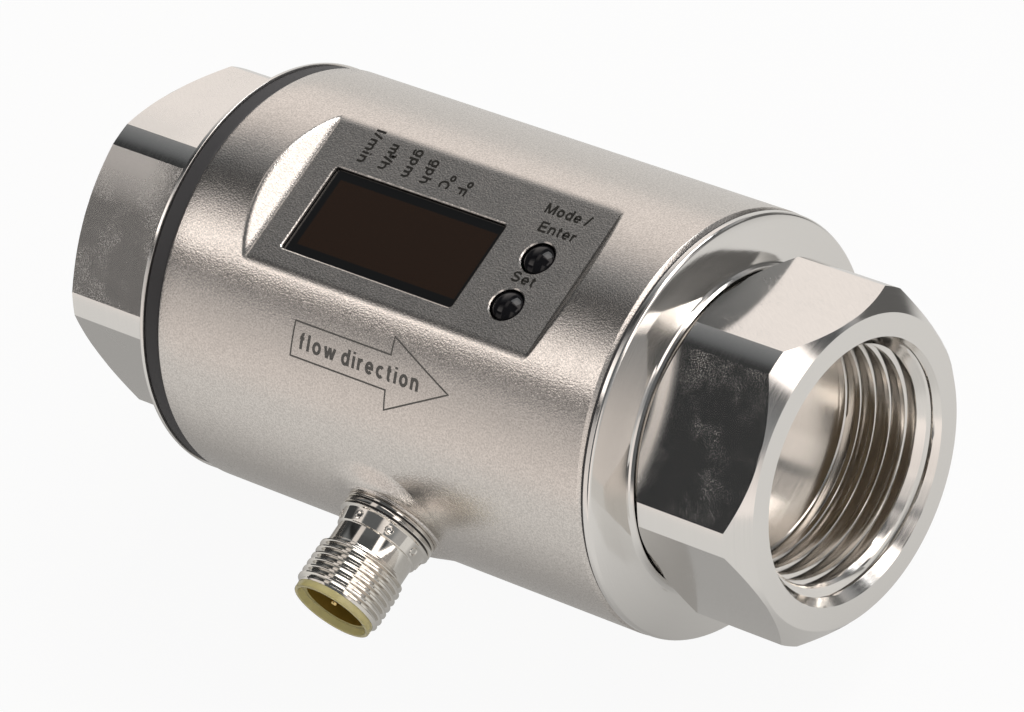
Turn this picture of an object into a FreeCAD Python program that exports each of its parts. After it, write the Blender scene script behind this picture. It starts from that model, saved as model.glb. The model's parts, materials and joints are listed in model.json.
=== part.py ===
import FreeCAD, Part
import math
import os

# Magnetic flow meter: a round steel housing with a display flat, a turned
# hexagonal port at each end, and a round threaded plug connector on its side.
# Millimetres. X runs along the pipe in the direction of flow, +Z points out
# of the display, the connector points along -Y, and the origin is on the
# pipe's axis at the middle of the magnet system.

V = FreeCAD.Vector
overcut = 1.0                   # how far a cut runs past the face it opens

# Measuring tube, electrodes and temperature probe
bore_radius = 10.0
tube_wall = 2.5
electrode_radius = 1.25
electrode_head_radius = 2.2
electrode_head_thickness = 0.8
electrode_nut_across_flats = 4.6
electrode_nut_thickness = 1.4
electrode_tail = 0.4            # above its nut
spot_face_depth = 0.2
spot_face_radius = 3.0
probe_to_carrier = 3.4          # probe's axis to the carrier's inlet cheek
probe_radius = 1.5
probe_collar_radius = 2.4
probe_collar_thickness = 1.1

# Magnet system
shoe_thickness = 1.5
shoe_overhang = 2.7             # shoe past the coil along the pipe
shoe_half_angle = 38.0
core_radius = 4.0
core_length = 6.5               # from the tube to the yoke
coil_radius = 8.3
coil_gap = 0.1
coil_edge_radius = 0.8
yoke_thickness = 1.5
yoke_overhang = 0.2
yoke_end_angle = 30.0           # where the open top of the yoke starts

# Housing
housing_clearance = 4.0         # yoke to the housing's inside
housing_wall = 3.0
housing_inlet_reach = 34.2      # origin to the housing's inlet end
housing_outlet_reach = 35.3     # origin to the housing's outlet end
housing_edge_chamfer = 0.5

# Display flat, window and button bores
flat_depth = 2.45               # below the crown of the housing
flat_inlet_margin = 11.75       # housing's end to the foot of the flat's slope
flat_outlet_margin = 11.65
flat_slope_deg = 45.0
flat_corner_radius = 0.5
flat_wall = 2.8
window_inlet_margin = 4.05      # flat's end to the window
window_outlet_margin = 14.0
window_width = 13.0
window_corner_radius = 0.5
window_recess = 0.55            # glass below the flat
window_thickness = 1.45
window_ledge = 1.5
window_chamfer = 0.25
display_center_y = -1.9         # the window and the two buttons share it
button_margin = 7.05            # buttons' centres to the flat's outlet end
button_spacing = 7.2
button_radius = 2.1
button_bore_gap = 0.2           # round the cap
button_dome_height = 0.9
button_edge_below_flat = 0.35
button_lip = 0.65               # holds the cap under the flat
button_lip_thickness = 0.5
button_travel = 0.4
button_bore_chamfer = 0.15
running_gap = 0.3               # under and beside what moves inside

# Port fittings
port_radius = 15.15             # minor radius of the pipe thread
port_wall = 5.35                # from the port to the hexagon's flats
port_past_hexagon = 0.9         # how far the port goes in behind the hexagon
port_mouth_flare = 1.95
port_mouth_depth = 2.9
inlet_hex_length = 16.8
outlet_hex_length = 17.5
hex_corner_turned_off = 0.91    # taken off each corner all along
hex_back_chamfer = 1.9
hex_face_step = 0.4             # port face's rim inside the flats
inlet_hex_chamfer = 1.65        # along the pipe, at the port's end
outlet_hex_chamfer = 2.4
neck_step = 0.4                 # neck outside the flats
neck_fillet = 0.6
groove_depth = 1.4
groove_width = 0.45
flange_inset = 0.1              # below the housing's surface
inlet_rim_width = 0.7
outlet_rim_width = 1.0
inlet_dish_rise = 0.65
outlet_dish_rise = 1.3
spigot_overlap = 7.6            # how far a fitting enters the housing
spigot_rim = 2.0
spigot_recess_depth = 5.4
tube_seat_depth = 4.6           # how far the measuring tube enters a fitting
hub_wall = 3.9

# Seals
inlet_gasket_width = 2.5
outlet_seal_width = 0.45
gasket_inset = 0.25             # below the flange's rim
fit_gap = 0.05                  # radial room of a piece pushed into a bore
o_ring_section = 1.4
o_ring_inset = 2.4              # tube's end to the middle of its o-ring

# Boards and what they carry
carrier_end_gap = 4.5           # fitting's spigot to the carrier's cheek
carrier_half_width = 15.5
carrier_leg_drop = 8.8
carrier_cheek = 4.6
carrier_rail_width = 2.5
carrier_rail_height = 2.2
main_board_end_gap = 2.5
main_board_thickness = 1.6
display_board_end_gap = 4.9
display_board_thickness = 1.2
display_room = 2.85             # display board to the housing's ceiling
board_edge_gap = 1.8
board_corner_radius = 1.5
spacer_height = 1.8
spacer_radius = 2.0
screw_radius = 0.95
screw_head_radius = 1.8
screw_head_height = 1.0
screw_engagement = 2.0
screw_edge = 2.3                # screw's axis to the display board's edge
module_inset = 1.0              # display module inside the window's outline
chip_height = 1.2
chip_sides = (8.0, 5.6)
chip_pitch = 13.0
switch_side = 4.5
switch_height = 1.2
plunger_radius = 0.8

# Plug connector
connector_outlet_margin = 34.5  # housing's outlet end to the plug's axis
connector_thread_radius = 6.0
connector_thread_length = 6.6
connector_thread_chamfer = 0.5
connector_neck_step = 0.65      # neck below the thread
connector_neck_length = 2.7
collar_step = 0.4               # collar's ringed foot above the thread
collar_foot_length = 1.65
collar_foot_slope = 0.25        # its last length, down to the plain part
collar_shoulder = 0.45          # foot above the plain part
collar_taper = 0.3
collar_length = 3.6
collar_groove_depth = 0.3
collar_groove_width = 0.3
collar_groove_count = 2
collar_groove_pitch = 0.6
collar_first_groove = 0.45
connector_spigot_step = 1.0     # spigot below the thread
connector_spigot_length = 5.0
boss_step = 0.9                 # boss outside the collar
boss_height = 0.2               # above the crown of the housing's side
boss_chamfer = 0.45
boss_fillet = 0.8
shell_wall = 0.3
insert_wall = 0.55
insert_lip_step = 0.55          # lip below the thread
insert_lip_height = 1.0
insert_floor_depth = 9.0        # from the lip down to the floor
insert_floor_thickness = 6.5
pin_radius = 0.5
pin_circle_radius = 2.5
pin_count = 4
pin_below_lip = 1.6
pin_tip_round = 0.3
pin_tail = 3.6
key_width = 1.2
key_depth = 0.6
connector_o_ring_section = 0.9

# Radii that follow, from the bore outwards
tube_radius = bore_radius + tube_wall
seat_z = tube_radius - spot_face_depth
shoe_radius = tube_radius + shoe_thickness
shoe_half_length = coil_radius + shoe_overhang
yoke_half_length = coil_radius + yoke_overhang
hub_radius = tube_radius + hub_wall
yoke_radius = tube_radius + core_length
cavity_radius = yoke_radius + yoke_thickness + housing_clearance
spigot_radius = cavity_radius - fit_gap
housing_radius = cavity_radius + housing_wall
flange_radius = housing_radius - flange_inset

# Hexagon and neck
hex_flat_radius = port_radius + port_wall
hex_corner_radius = hex_flat_radius / math.cos(math.radians(30)) - hex_corner_turned_off
neck_radius = hex_flat_radius + neck_step
groove_radius = neck_radius - groove_depth

# Heights under the display, from the flat downwards
flat_z = housing_radius - flat_depth
ceiling_z = flat_z - flat_wall
pane_floor_z = flat_z - window_recess - window_thickness
display_top_z = ceiling_z - display_room
display_board_z = display_top_z - display_board_thickness
main_board_top_z = display_board_z - spacer_height
main_board_z = main_board_top_z - main_board_thickness
button_floor_z = ceiling_z - running_gap - button_lip_thickness
plunger_floor_z = display_top_z + running_gap + button_travel

# Places along the pipe
inlet_spigot_x = spigot_overlap - housing_inlet_reach
outlet_spigot_x = housing_outlet_reach - spigot_overlap
inlet_seat_x = inlet_spigot_x - tube_seat_depth
outlet_seat_x = outlet_spigot_x + tube_seat_depth
flat_inlet_x = flat_inlet_margin - housing_inlet_reach
flat_outlet_x = housing_outlet_reach - flat_outlet_margin
window_inlet_x = flat_inlet_x + window_inlet_margin
window_outlet_x = flat_outlet_x - window_outlet_margin
button_x = flat_outlet_x - button_margin
connector_x = housing_outlet_reach - connector_outlet_margin
button_ys = [display_center_y + side * button_spacing / 2 for side in (1, -1)]
inlet_cheek_x = inlet_spigot_x + carrier_end_gap
outlet_cheek_x = outlet_spigot_x - carrier_end_gap
probe_x = inlet_cheek_x + carrier_cheek + probe_to_carrier

# Plug connector, outwards from the housing
connector_face = housing_radius + boss_height
collar_tip = connector_face + collar_length
thread_root = collar_tip + connector_neck_length
thread_tip = thread_root + connector_thread_length
lip_tip = thread_tip + insert_lip_height
insert_floor = lip_tip - insert_floor_depth
insert_back = insert_floor - insert_floor_thickness
collar_radius = connector_thread_radius + collar_step
boss_radius = collar_radius + boss_step
connector_spigot_radius = connector_thread_radius - connector_spigot_step
socket_radius = connector_spigot_radius - shell_wall
insert_inner_radius = socket_radius - insert_wall


def along_x(u, v):
    return V(u, v, 0)


def along_y(u, v):
    return V(v, -u, 0)


def rounded_wire(corners, place):
    # Each corner is (u, v) or (u, v, radius), and place puts it in space.
    spots = [place(corner[0], corner[1]) for corner in corners]
    radii = [corner[2] if len(corner) > 2 else 0 for corner in corners]
    starts, ends, arcs = [], [], []
    for i, spot in enumerate(spots):
        to_last = (spots[i - 1] - spot).normalize()
        to_next = (spots[(i + 1) % len(spots)] - spot).normalize()
        half = to_last.getAngle(to_next) / 2
        if radii[i] == 0:
            starts.append(spot)
            ends.append(spot)
            arcs.append(None)
            continue
        reach = radii[i] / math.tan(half)
        middle = (to_last + to_next).normalize()
        starts.append(spot + to_last * reach)
        ends.append(spot + to_next * reach)
        top = spot + middle * (radii[i] / math.sin(half) - radii[i])
        arcs.append(Part.Arc(starts[i], top, ends[i]).toShape())
    edges = []
    for i in range(len(spots)):
        if arcs[i]:
            edges.append(arcs[i])
        edges.append(Part.makeLine(ends[i], starts[(i + 1) % len(spots)]))
    return Part.Wire(edges)


def turned(corners):
    # A profile of (x, radius) corners spun about the pipe's axis.
    face = Part.Face(rounded_wire(corners, along_x))
    return face.revolve(V(0, 0, 0), V(1, 0, 0), 360)


def turned_on_side(corners):
    # A profile of (distance from the pipe's axis, radius) spun about -Y.
    face = Part.Face(rounded_wire(corners, along_y))
    return face.revolve(V(0, 0, 0), V(0, -1, 0), 360)


def at_connector(shape):
    # Moves what is drawn about the Y axis to the plug's place.
    return shape.translated(V(connector_x, 0, 0))


def rod_x(radius, x_from, x_to):
    return Part.makeCylinder(radius, x_to - x_from, V(x_from, 0, 0), V(1, 0, 0))


def rod_z(radius, x, y, z_from, z_to):
    return Part.makeCylinder(radius, z_to - z_from, V(x, y, z_from))


def block(x_from, x_to, y_from, y_to, z_from, z_to):
    size = V(x_to - x_from, y_to - y_from, z_to - z_from)
    return Part.makeBox(size.x, size.y, size.z, V(x_from, y_from, z_from))


def rounded_plate(x_from, x_to, y_from, y_to, radius, z_from, z_to, widening=0):
    # A plate with round corners whose outline may grow from its bottom to its top.
    wires = []
    for z, grow in ((z_from, 0), (z_to, widening)):
        corners = [(x_from - grow, y_from - grow, radius + grow), (x_to + grow, y_from - grow, radius + grow),
                   (x_to + grow, y_to + grow, radius + grow), (x_from - grow, y_to + grow, radius + grow)]
        wires.append(rounded_wire(corners, lambda u, v: V(u, v, z)))
    return Part.makeLoft(wires, True, True)


def hexagon(across_flats, x_from, x_to):
    # Flats face +Y and -Y, corners point up and down.
    corner = across_flats / 2 / math.cos(math.radians(30))
    points = [V(x_from, corner * math.cos(math.radians(angle)), corner * math.sin(math.radians(angle)))
              for angle in range(30, 391, 60)]
    return Part.Face(Part.makePolygon(points)).extrude(V(x_to - x_from, 0, 0))


def fused(shapes):
    return shapes[0].multiFuse(shapes[1:]).removeSplitter()


def mirrored_in_x(shape):
    return shape.mirror(V(0, 0, 0), V(1, 0, 0))


# Housing
def display_pocket():
    slope = math.tan(math.radians(flat_slope_deg))
    rise = 2 * flat_depth
    run = rise / slope
    corners = [(flat_inlet_x - run, flat_z + rise), (flat_inlet_x, flat_z, flat_corner_radius),
               (flat_outlet_x, flat_z, flat_corner_radius), (flat_outlet_x + run, flat_z + rise)]
    wire = rounded_wire(corners, lambda u, v: V(u, -housing_radius, v))
    return Part.Face(wire).extrude(V(0, 2 * housing_radius, 0))


def ceiling_pad():
    # Material left under the display flat inside the round cavity.
    run = flat_depth / math.tan(math.radians(flat_slope_deg))
    return block(flat_inlet_x - run, flat_outlet_x + run, -housing_radius, housing_radius,
                 ceiling_z, housing_radius)


def connector_boss():
    # A low round pad, filleted onto the housing, that gives the plug a flat seat.
    skirt_radius = boss_radius + 2 * boss_fillet
    root = math.sqrt(housing_radius ** 2 - (boss_radius + boss_fillet) ** 2)
    corners = [(cavity_radius, 0), (connector_face, 0), (connector_face, boss_radius - boss_chamfer),
               (connector_face - boss_chamfer, boss_radius), (root, boss_radius, boss_fillet),
               (root, skirt_radius), (cavity_radius, skirt_radius)]
    inside = rod_x(cavity_radius, -skirt_radius, skirt_radius)
    return at_connector(turned_on_side(corners).cut(inside))


def make_housing():
    edge = housing_edge_chamfer
    inlet, outlet = -housing_inlet_reach, housing_outlet_reach
    barrel = turned([(inlet, 0), (inlet, housing_radius - edge), (inlet + edge, housing_radius),
                     (outlet - edge, housing_radius), (outlet, housing_radius - edge), (outlet, 0)])
    barrel = barrel.fuse(connector_boss())
    cavity = rod_x(cavity_radius, inlet, outlet).cut(ceiling_pad())
    shell = barrel.cut(cavity).cut(display_pocket())
    half_width = window_width / 2
    outline = (window_inlet_x, window_outlet_x, display_center_y - half_width, display_center_y + half_width)
    window = rounded_plate(*outline, window_corner_radius, pane_floor_z, flat_z + overcut)
    rim = rounded_plate(*outline, window_corner_radius, flat_z - window_chamfer, flat_z, window_chamfer)
    light_well = rounded_plate(window_inlet_x + window_ledge, window_outlet_x - window_ledge,
                               display_center_y - half_width + window_ledge,
                               display_center_y + half_width - window_ledge,
                               window_corner_radius, ceiling_z - overcut, pane_floor_z + overcut)
    shell = shell.cut([window, rim, light_well])
    bore = button_radius + button_bore_gap
    for button_y in button_ys:
        hole = rod_z(bore, button_x, button_y, ceiling_z - overcut, flat_z + overcut)
        sink = Part.makeCone(bore, bore + button_bore_chamfer, button_bore_chamfer,
                             V(button_x, button_y, flat_z - button_bore_chamfer))
        shell = shell.cut([hole, sink])
    spigot_hole = turned_on_side([(0, 0), (0, connector_spigot_radius + fit_gap),
                                  (connector_face + overcut, connector_spigot_radius + fit_gap),
                                  (connector_face + overcut, 0)])
    seal_depth = connector_o_ring_section + fit_gap
    seal_seat = turned_on_side([(connector_face - seal_depth, 0),
                                (connector_face - seal_depth, connector_spigot_radius + seal_depth),
                                (connector_face + overcut, connector_spigot_radius + seal_depth),
                                (connector_face + overcut, 0)])
    return shell.cut([at_connector(spigot_hole), at_connector(seal_seat)]).removeSplitter()


# Port fittings, made for the outlet side and mirrored for the inlet
def make_fitting(housing_end, seal_width, rim_width, dish_rise, hex_length, front_chamfer):
    spigot_end = housing_end - spigot_overlap
    seat_end = spigot_end + tube_seat_depth
    rim_back = housing_end + seal_width
    rim_face = rim_back + rim_width
    groove_start = rim_face + dish_rise
    hex_back = groove_start + groove_width
    face = hex_back + hex_length
    flange = turned([(spigot_end, 0), (spigot_end, spigot_radius), (rim_back, spigot_radius),
                     (rim_back, flange_radius), (rim_face, flange_radius, rim_width / 4),
                     (groove_start - neck_fillet / 2, neck_radius, neck_fillet),
                     (groove_start, neck_radius), (groove_start, groove_radius),
                     (hex_back, groove_radius), (hex_back, 0)])
    nut = turned([(hex_back, 0), (hex_back, hex_flat_radius),
                  (hex_back + hex_back_chamfer, hex_corner_radius),
                  (face - front_chamfer, hex_corner_radius),
                  (face, hex_flat_radius - hex_face_step), (face, 0)])
    nut = nut.common(hexagon(2 * hex_flat_radius, hex_back - overcut, face + overcut))
    port_floor = hex_back - port_past_hexagon
    mouth_radius = port_radius + port_mouth_flare
    port = turned([(port_floor, 0), (port_floor, port_radius),
                   (face - port_mouth_depth, port_radius), (face, mouth_radius),
                   (face + overcut, mouth_radius), (face + overcut, 0)])
    through = rod_x(bore_radius, spigot_end - overcut, port_floor + overcut)
    seat = rod_x(tube_radius + fit_gap, spigot_end - overcut, seat_end)
    ring_x = seat_end - o_ring_inset
    ring_half = o_ring_section / 2 + fit_gap
    ring_seat = rod_x(tube_radius + o_ring_section + fit_gap, ring_x - ring_half, ring_x + ring_half)
    recess = rod_x(spigot_radius - spigot_rim, spigot_end - overcut, spigot_end + spigot_recess_depth)
    recess = recess.cut(rod_x(hub_radius, spigot_end - 2 * overcut, housing_end))
    return flange.fuse(nut).cut([port, through, seat, ring_seat, recess]).removeSplitter()


def make_face_seal(x_from, x_to):
    outer = rod_x(flange_radius - gasket_inset, x_from, x_to)
    return outer.cut(rod_x(spigot_radius + fit_gap, x_from - overcut, x_to + overcut))


def make_tube_seal(ring_x):
    center = tube_radius + fit_gap + o_ring_section / 2
    return Part.makeTorus(center, o_ring_section / 2 - fit_gap / 2, V(ring_x, 0, 0), V(1, 0, 0))


# Measuring tube and what is screwed through its wall
def upside_down(shape):
    return shape.mirror(V(0, 0, 0), V(0, 0, 1))


def make_measuring_tube():
    tools = [rod_x(bore_radius, inlet_seat_x - overcut, outlet_seat_x + overcut)]
    head_top = bore_radius + electrode_head_thickness
    electrode_tools = [rod_z(electrode_radius + fit_gap, 0, 0, 0, tube_radius + overcut),
                       rod_z(electrode_head_radius + fit_gap, 0, 0, 0, head_top + fit_gap),
                       rod_z(spot_face_radius, 0, 0, seat_z, tube_radius + overcut)]
    tools += electrode_tools
    tools += [upside_down(tool) for tool in electrode_tools]
    tools.append(rod_z(probe_radius + fit_gap, probe_x, 0, 0, tube_radius + overcut))
    tools.append(rod_z(spot_face_radius, probe_x, 0, seat_z, tube_radius + overcut))
    return rod_x(tube_radius, inlet_seat_x, outlet_seat_x).cut(tools)


def make_electrode():
    head_top = bore_radius + electrode_head_thickness
    nut_top = seat_z + electrode_nut_thickness
    head = rod_z(electrode_head_radius, 0, 0, 0, head_top)
    shank = rod_z(electrode_radius, 0, 0, 0, nut_top + electrode_tail)
    pin = head.fuse(shank).cut(rod_x(bore_radius + fit_gap, -bore_radius, bore_radius))
    nut = hexagon(electrode_nut_across_flats, seat_z, nut_top)
    nut.rotate(V(0, 0, 0), V(0, 1, 0), -90)
    nut = nut.cut(rod_z(electrode_radius, 0, 0, 0, nut_top + overcut))
    return Part.makeCompound([pin, nut])


def make_temperature_probe():
    collar_top = seat_z + probe_collar_thickness
    stem = rod_z(probe_radius, probe_x, 0, 0, collar_top)
    stem = stem.cut(rod_x(bore_radius + fit_gap, probe_x - bore_radius, probe_x + bore_radius))
    return stem.fuse(rod_z(probe_collar_radius, probe_x, 0, seat_z, collar_top)).removeSplitter()


# Magnet system: the front side faces -Y
def sector(inner, outer, half_length, angle_from, angle_to):
    corners = [V(-half_length, inner, 0), V(half_length, inner, 0),
               V(half_length, outer, 0), V(-half_length, outer, 0), V(-half_length, inner, 0)]
    face = Part.Face(Part.makePolygon(corners))
    face.rotate(V(0, 0, 0), V(1, 0, 0), angle_from)
    return face.revolve(V(0, 0, 0), V(1, 0, 0), angle_to - angle_from)


def on_side(shape, front):
    return shape.mirror(V(0, 0, 0), V(0, 1, 0)) if front else shape


def make_pole_core(front):
    shoe = sector(tube_radius + fit_gap, shoe_radius, shoe_half_length, -shoe_half_angle, shoe_half_angle)
    core = Part.makeCylinder(core_radius, yoke_radius, V(0, 0, 0), V(0, 1, 0))
    core = core.common(rod_x(yoke_radius, -coil_radius, coil_radius))
    core = core.cut(rod_x(tube_radius + fit_gap, -coil_radius, coil_radius))
    return on_side(shoe.fuse(core).removeSplitter(), front)


def make_coil(front):
    start = shoe_radius + coil_gap
    inner = core_radius + coil_gap
    corners = [(-start, inner), (-start, coil_radius, coil_edge_radius),
               (-yoke_radius, coil_radius), (-yoke_radius, inner)]
    coil = turned_on_side(corners)
    coil = coil.common(rod_x(yoke_radius - coil_gap, -coil_radius - overcut, coil_radius + overcut))
    return on_side(coil, front)


def make_yoke():
    return sector(yoke_radius, yoke_radius + yoke_thickness, yoke_half_length,
                  180 - yoke_end_angle, 360 + yoke_end_angle)


# Boards
def chord_half(z):
    # Half the cavity's width at height z, less the room beside a board.
    return math.sqrt(cavity_radius ** 2 - z ** 2) - board_edge_gap


display_board_half = chord_half(display_top_z)
screw_places = [(x, side * (display_board_half - screw_edge))
                for x in (inlet_cheek_x + carrier_cheek / 2, outlet_cheek_x - carrier_cheek / 2)
                for side in (-1, 1)]


def screw_holes(z_from, z_to, gap):
    return [rod_z(screw_radius + gap, x, y, z_from, z_to) for x, y in screw_places]


def make_board_carrier():
    half = carrier_half_width
    leg_z = main_board_z - carrier_leg_drop
    rail_z = main_board_z - carrier_rail_height
    pieces = [block(inlet_cheek_x, inlet_cheek_x + carrier_cheek, -half, half, leg_z, main_board_z),
              block(outlet_cheek_x - carrier_cheek, outlet_cheek_x, -half, half, leg_z, main_board_z),
              block(inlet_cheek_x, outlet_cheek_x, -half, -half + carrier_rail_width, rail_z, main_board_z),
              block(inlet_cheek_x, outlet_cheek_x, half - carrier_rail_width, half, rail_z, main_board_z)]
    tube_room = rod_x(tube_radius + fit_gap, inlet_cheek_x - overcut, outlet_cheek_x + overcut)
    holes = screw_holes(main_board_z - screw_engagement - fit_gap, main_board_z + overcut, fit_gap)
    return fused(pieces).cut([tube_room] + holes)


def make_main_board():
    half = chord_half(main_board_top_z)
    board = rounded_plate(inlet_spigot_x + main_board_end_gap, outlet_spigot_x - main_board_end_gap,
                          -half, half, board_corner_radius, main_board_z, main_board_top_z)
    board = board.cut(screw_holes(main_board_z - overcut, main_board_top_z + overcut, 2 * fit_gap))
    chips = []
    for i, side in enumerate(chip_sides):
        chip_x = (i - 0.5) * chip_pitch - side / 2
        chips.append(block(chip_x, chip_x + side, -side / 2, side / 2,
                           main_board_top_z, main_board_top_z + chip_height))
    return fused([board] + chips)


def make_display_board():
    board = rounded_plate(inlet_spigot_x + display_board_end_gap, outlet_spigot_x - display_board_end_gap,
                          -display_board_half, display_board_half, board_corner_radius,
                          display_board_z, display_top_z)
    return board.cut(screw_holes(display_board_z - overcut, display_top_z + overcut, 2 * fit_gap))


def make_board_spacers():
    rings = []
    for x, y in screw_places:
        ring = rod_z(spacer_radius, x, y, main_board_top_z, display_board_z)
        bore = rod_z(screw_radius + fit_gap, x, y, main_board_top_z - overcut, display_board_z + overcut)
        rings.append(ring.cut(bore))
    return Part.makeCompound(rings)


def make_board_screws():
    screws = []
    for x, y in screw_places:
        shank = rod_z(screw_radius, x, y, main_board_z - screw_engagement, display_top_z)
        head = rod_z(screw_head_radius, x, y, display_top_z, display_top_z + screw_head_height)
        screws.append(shank.fuse(head))
    return Part.makeCompound(screws)


def make_display_module():
    half = window_width / 2 - module_inset
    return block(window_inlet_x + module_inset, window_outlet_x - module_inset,
                 display_center_y - half, display_center_y + half, display_top_z, ceiling_z - 2 * fit_gap)


def make_display_window():
    half = window_width / 2 - fit_gap
    return rounded_plate(window_inlet_x + fit_gap, window_outlet_x - fit_gap,
                         display_center_y - half, display_center_y + half,
                         window_corner_radius, pane_floor_z, flat_z - window_recess)


# Buttons: a domed cap held under the flat, the switch and its plunger below
def make_button(button_y):
    edge_z = flat_z - button_edge_below_flat
    top_z = edge_z + button_dome_height
    dome_radius = (button_radius ** 2 + button_dome_height ** 2) / (2 * button_dome_height)
    corners = [(0, button_floor_z), (button_radius + button_lip, button_floor_z),
               (button_radius + button_lip, button_floor_z + button_lip_thickness),
               (button_radius, button_floor_z + button_lip_thickness),
               (button_radius, top_z), (0, top_z)]
    wire = rounded_wire(corners, lambda u, v: V(button_x + u, button_y, v))
    cap = Part.Face(wire).revolve(V(button_x, button_y, 0), V(0, 0, 1), 360)
    ball = Part.makeSphere(dome_radius, V(button_x, button_y, top_z - dome_radius))
    above_edge = rod_z(button_radius + overcut, button_x, button_y, edge_z, top_z + overcut)
    return cap.cut(above_edge.cut(ball))


def make_plunger(button_y):
    return rod_z(plunger_radius, button_x, button_y, plunger_floor_z, button_floor_z)


def make_switch(button_y):
    half = switch_side / 2
    body = block(button_x - half, button_x + half, button_y - half, button_y + half,
                 display_top_z, display_top_z + switch_height)
    well_floor = plunger_floor_z - button_travel - running_gap / 2
    well = rod_z(plunger_radius + running_gap, button_x, button_y, well_floor,
                 display_top_z + switch_height + overcut)
    return body.cut(well)


# Plug connector, along -Y
def make_connector_shell():
    bore = socket_radius + fit_gap
    neck = connector_thread_radius - connector_neck_step
    end = connector_thread_radius - connector_thread_chamfer
    corners = [(connector_face - connector_spigot_length, insert_inner_radius),
               (connector_face - connector_spigot_length, connector_spigot_radius),
               (connector_face, connector_spigot_radius), (connector_face, collar_radius)]
    for i in range(collar_groove_count):
        start = connector_face + collar_first_groove + i * collar_groove_pitch
        stop = start + collar_groove_width
        corners += [(start, collar_radius), (start, collar_radius - collar_groove_depth),
                    (stop, collar_radius - collar_groove_depth), (stop, collar_radius)]
    foot_end = connector_face + collar_foot_length
    plain_radius = collar_radius - collar_shoulder
    corners += [(foot_end - collar_foot_slope, collar_radius), (foot_end, plain_radius),
                (collar_tip, plain_radius - collar_taper), (collar_tip, neck), (thread_root, neck),
                (thread_root + connector_thread_chamfer, connector_thread_radius),
                (thread_tip - connector_thread_chamfer, connector_thread_radius),
                (thread_tip, end), (thread_tip, bore), (insert_back, bore),
                (insert_back, insert_inner_radius)]
    return at_connector(turned_on_side(corners))


def pin_places():
    angles = [math.radians(45 + i * 360 / pin_count) for i in range(pin_count)]
    return [(pin_circle_radius * math.cos(angle), pin_circle_radius * math.sin(angle)) for angle in angles]


def make_connector_insert():
    lip_radius = connector_thread_radius - insert_lip_step
    body = turned_on_side([(insert_back, 0), (insert_back, socket_radius), (thread_tip, socket_radius),
                           (thread_tip, lip_radius), (lip_tip, lip_radius, insert_lip_height / 4),
                           (lip_tip, insert_inner_radius, insert_wall / 3),
                           (insert_floor, insert_inner_radius), (insert_floor, 0)])
    key = block(-key_width / 2, key_width / 2, insert_lip_height - lip_tip, overcut - insert_floor,
                insert_inner_radius - key_depth, insert_inner_radius + insert_wall / 2)
    holes = [Part.makeCylinder(pin_radius, lip_tip, V(x, 0, z), V(0, -1, 0)) for x, z in pin_places()]
    return at_connector(body.fuse(key).cut(holes).removeSplitter())


def make_connector_pins():
    tail = insert_back - pin_tail
    tip = lip_tip - pin_below_lip
    pins = []
    for x, z in pin_places():
        pin = turned_on_side([(tail, 0), (tail, pin_radius), (tip, pin_radius, pin_tip_round), (tip, 0)])
        pin.translate(V(x, 0, z))
        pins.append(pin)
    return at_connector(Part.makeCompound(pins))


def make_connector_seal():
    half = connector_o_ring_section / 2
    center = connector_spigot_radius + fit_gap + half
    ring_y = connector_face - half - fit_gap / 2
    return Part.makeTorus(center, half - fit_gap / 2, V(connector_x, -ring_y, 0), V(0, 1, 0))


nodes = {
    "housing": make_housing(),
    "inlet_fitting": mirrored_in_x(make_fitting(housing_inlet_reach, inlet_gasket_width, inlet_rim_width,
                                                inlet_dish_rise, inlet_hex_length, inlet_hex_chamfer)),
    "outlet_fitting": make_fitting(housing_outlet_reach, outlet_seal_width, outlet_rim_width,
                                   outlet_dish_rise, outlet_hex_length, outlet_hex_chamfer),
    "inlet_gasket": make_face_seal(-housing_inlet_reach - inlet_gasket_width, -housing_inlet_reach),
    "outlet_seal": make_face_seal(housing_outlet_reach, housing_outlet_reach + outlet_seal_width),
    "measuring_tube": make_measuring_tube(),
    "inlet_o_ring": make_tube_seal(inlet_seat_x + o_ring_inset),
    "outlet_o_ring": make_tube_seal(outlet_seat_x - o_ring_inset),
    "electrode_upper": make_electrode(),
    "electrode_lower": upside_down(make_electrode()),
    "temperature_probe": make_temperature_probe(),
    "pole_core_front": make_pole_core(True),
    "pole_core_rear": make_pole_core(False),
    "coil_front": make_coil(True),
    "coil_rear": make_coil(False),
    "magnet_yoke": make_yoke(),
    "board_carrier": make_board_carrier(),
    "main_board": make_main_board(),
    "board_spacers": make_board_spacers(),
    "display_board": make_display_board(),
    "board_screws": make_board_screws(),
    "display_module": make_display_module(),
    "display_window": make_display_window(),
    "mode_button": make_button(button_ys[0]),
    "set_button": make_button(button_ys[1]),
    "mode_plunger": make_plunger(button_ys[0]),
    "set_plunger": make_plunger(button_ys[1]),
    "mode_switch": make_switch(button_ys[0]),
    "set_switch": make_switch(button_ys[1]),
    "connector_shell": make_connector_shell(),
    "connector_insert": make_connector_insert(),
    "connector_pins": make_connector_pins(),
    "connector_o_ring": make_connector_seal(),
}

os.makedirs("parts", exist_ok=True)
for name, shape in nodes.items():
    shape.exportStep("parts/" + name + ".step")
    print(name, round(shape.Volume, 1), shape.isValid(), len(shape.Solids))
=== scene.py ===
import json
import math

import bmesh
import bpy
from mathutils import Matrix, Vector


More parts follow.
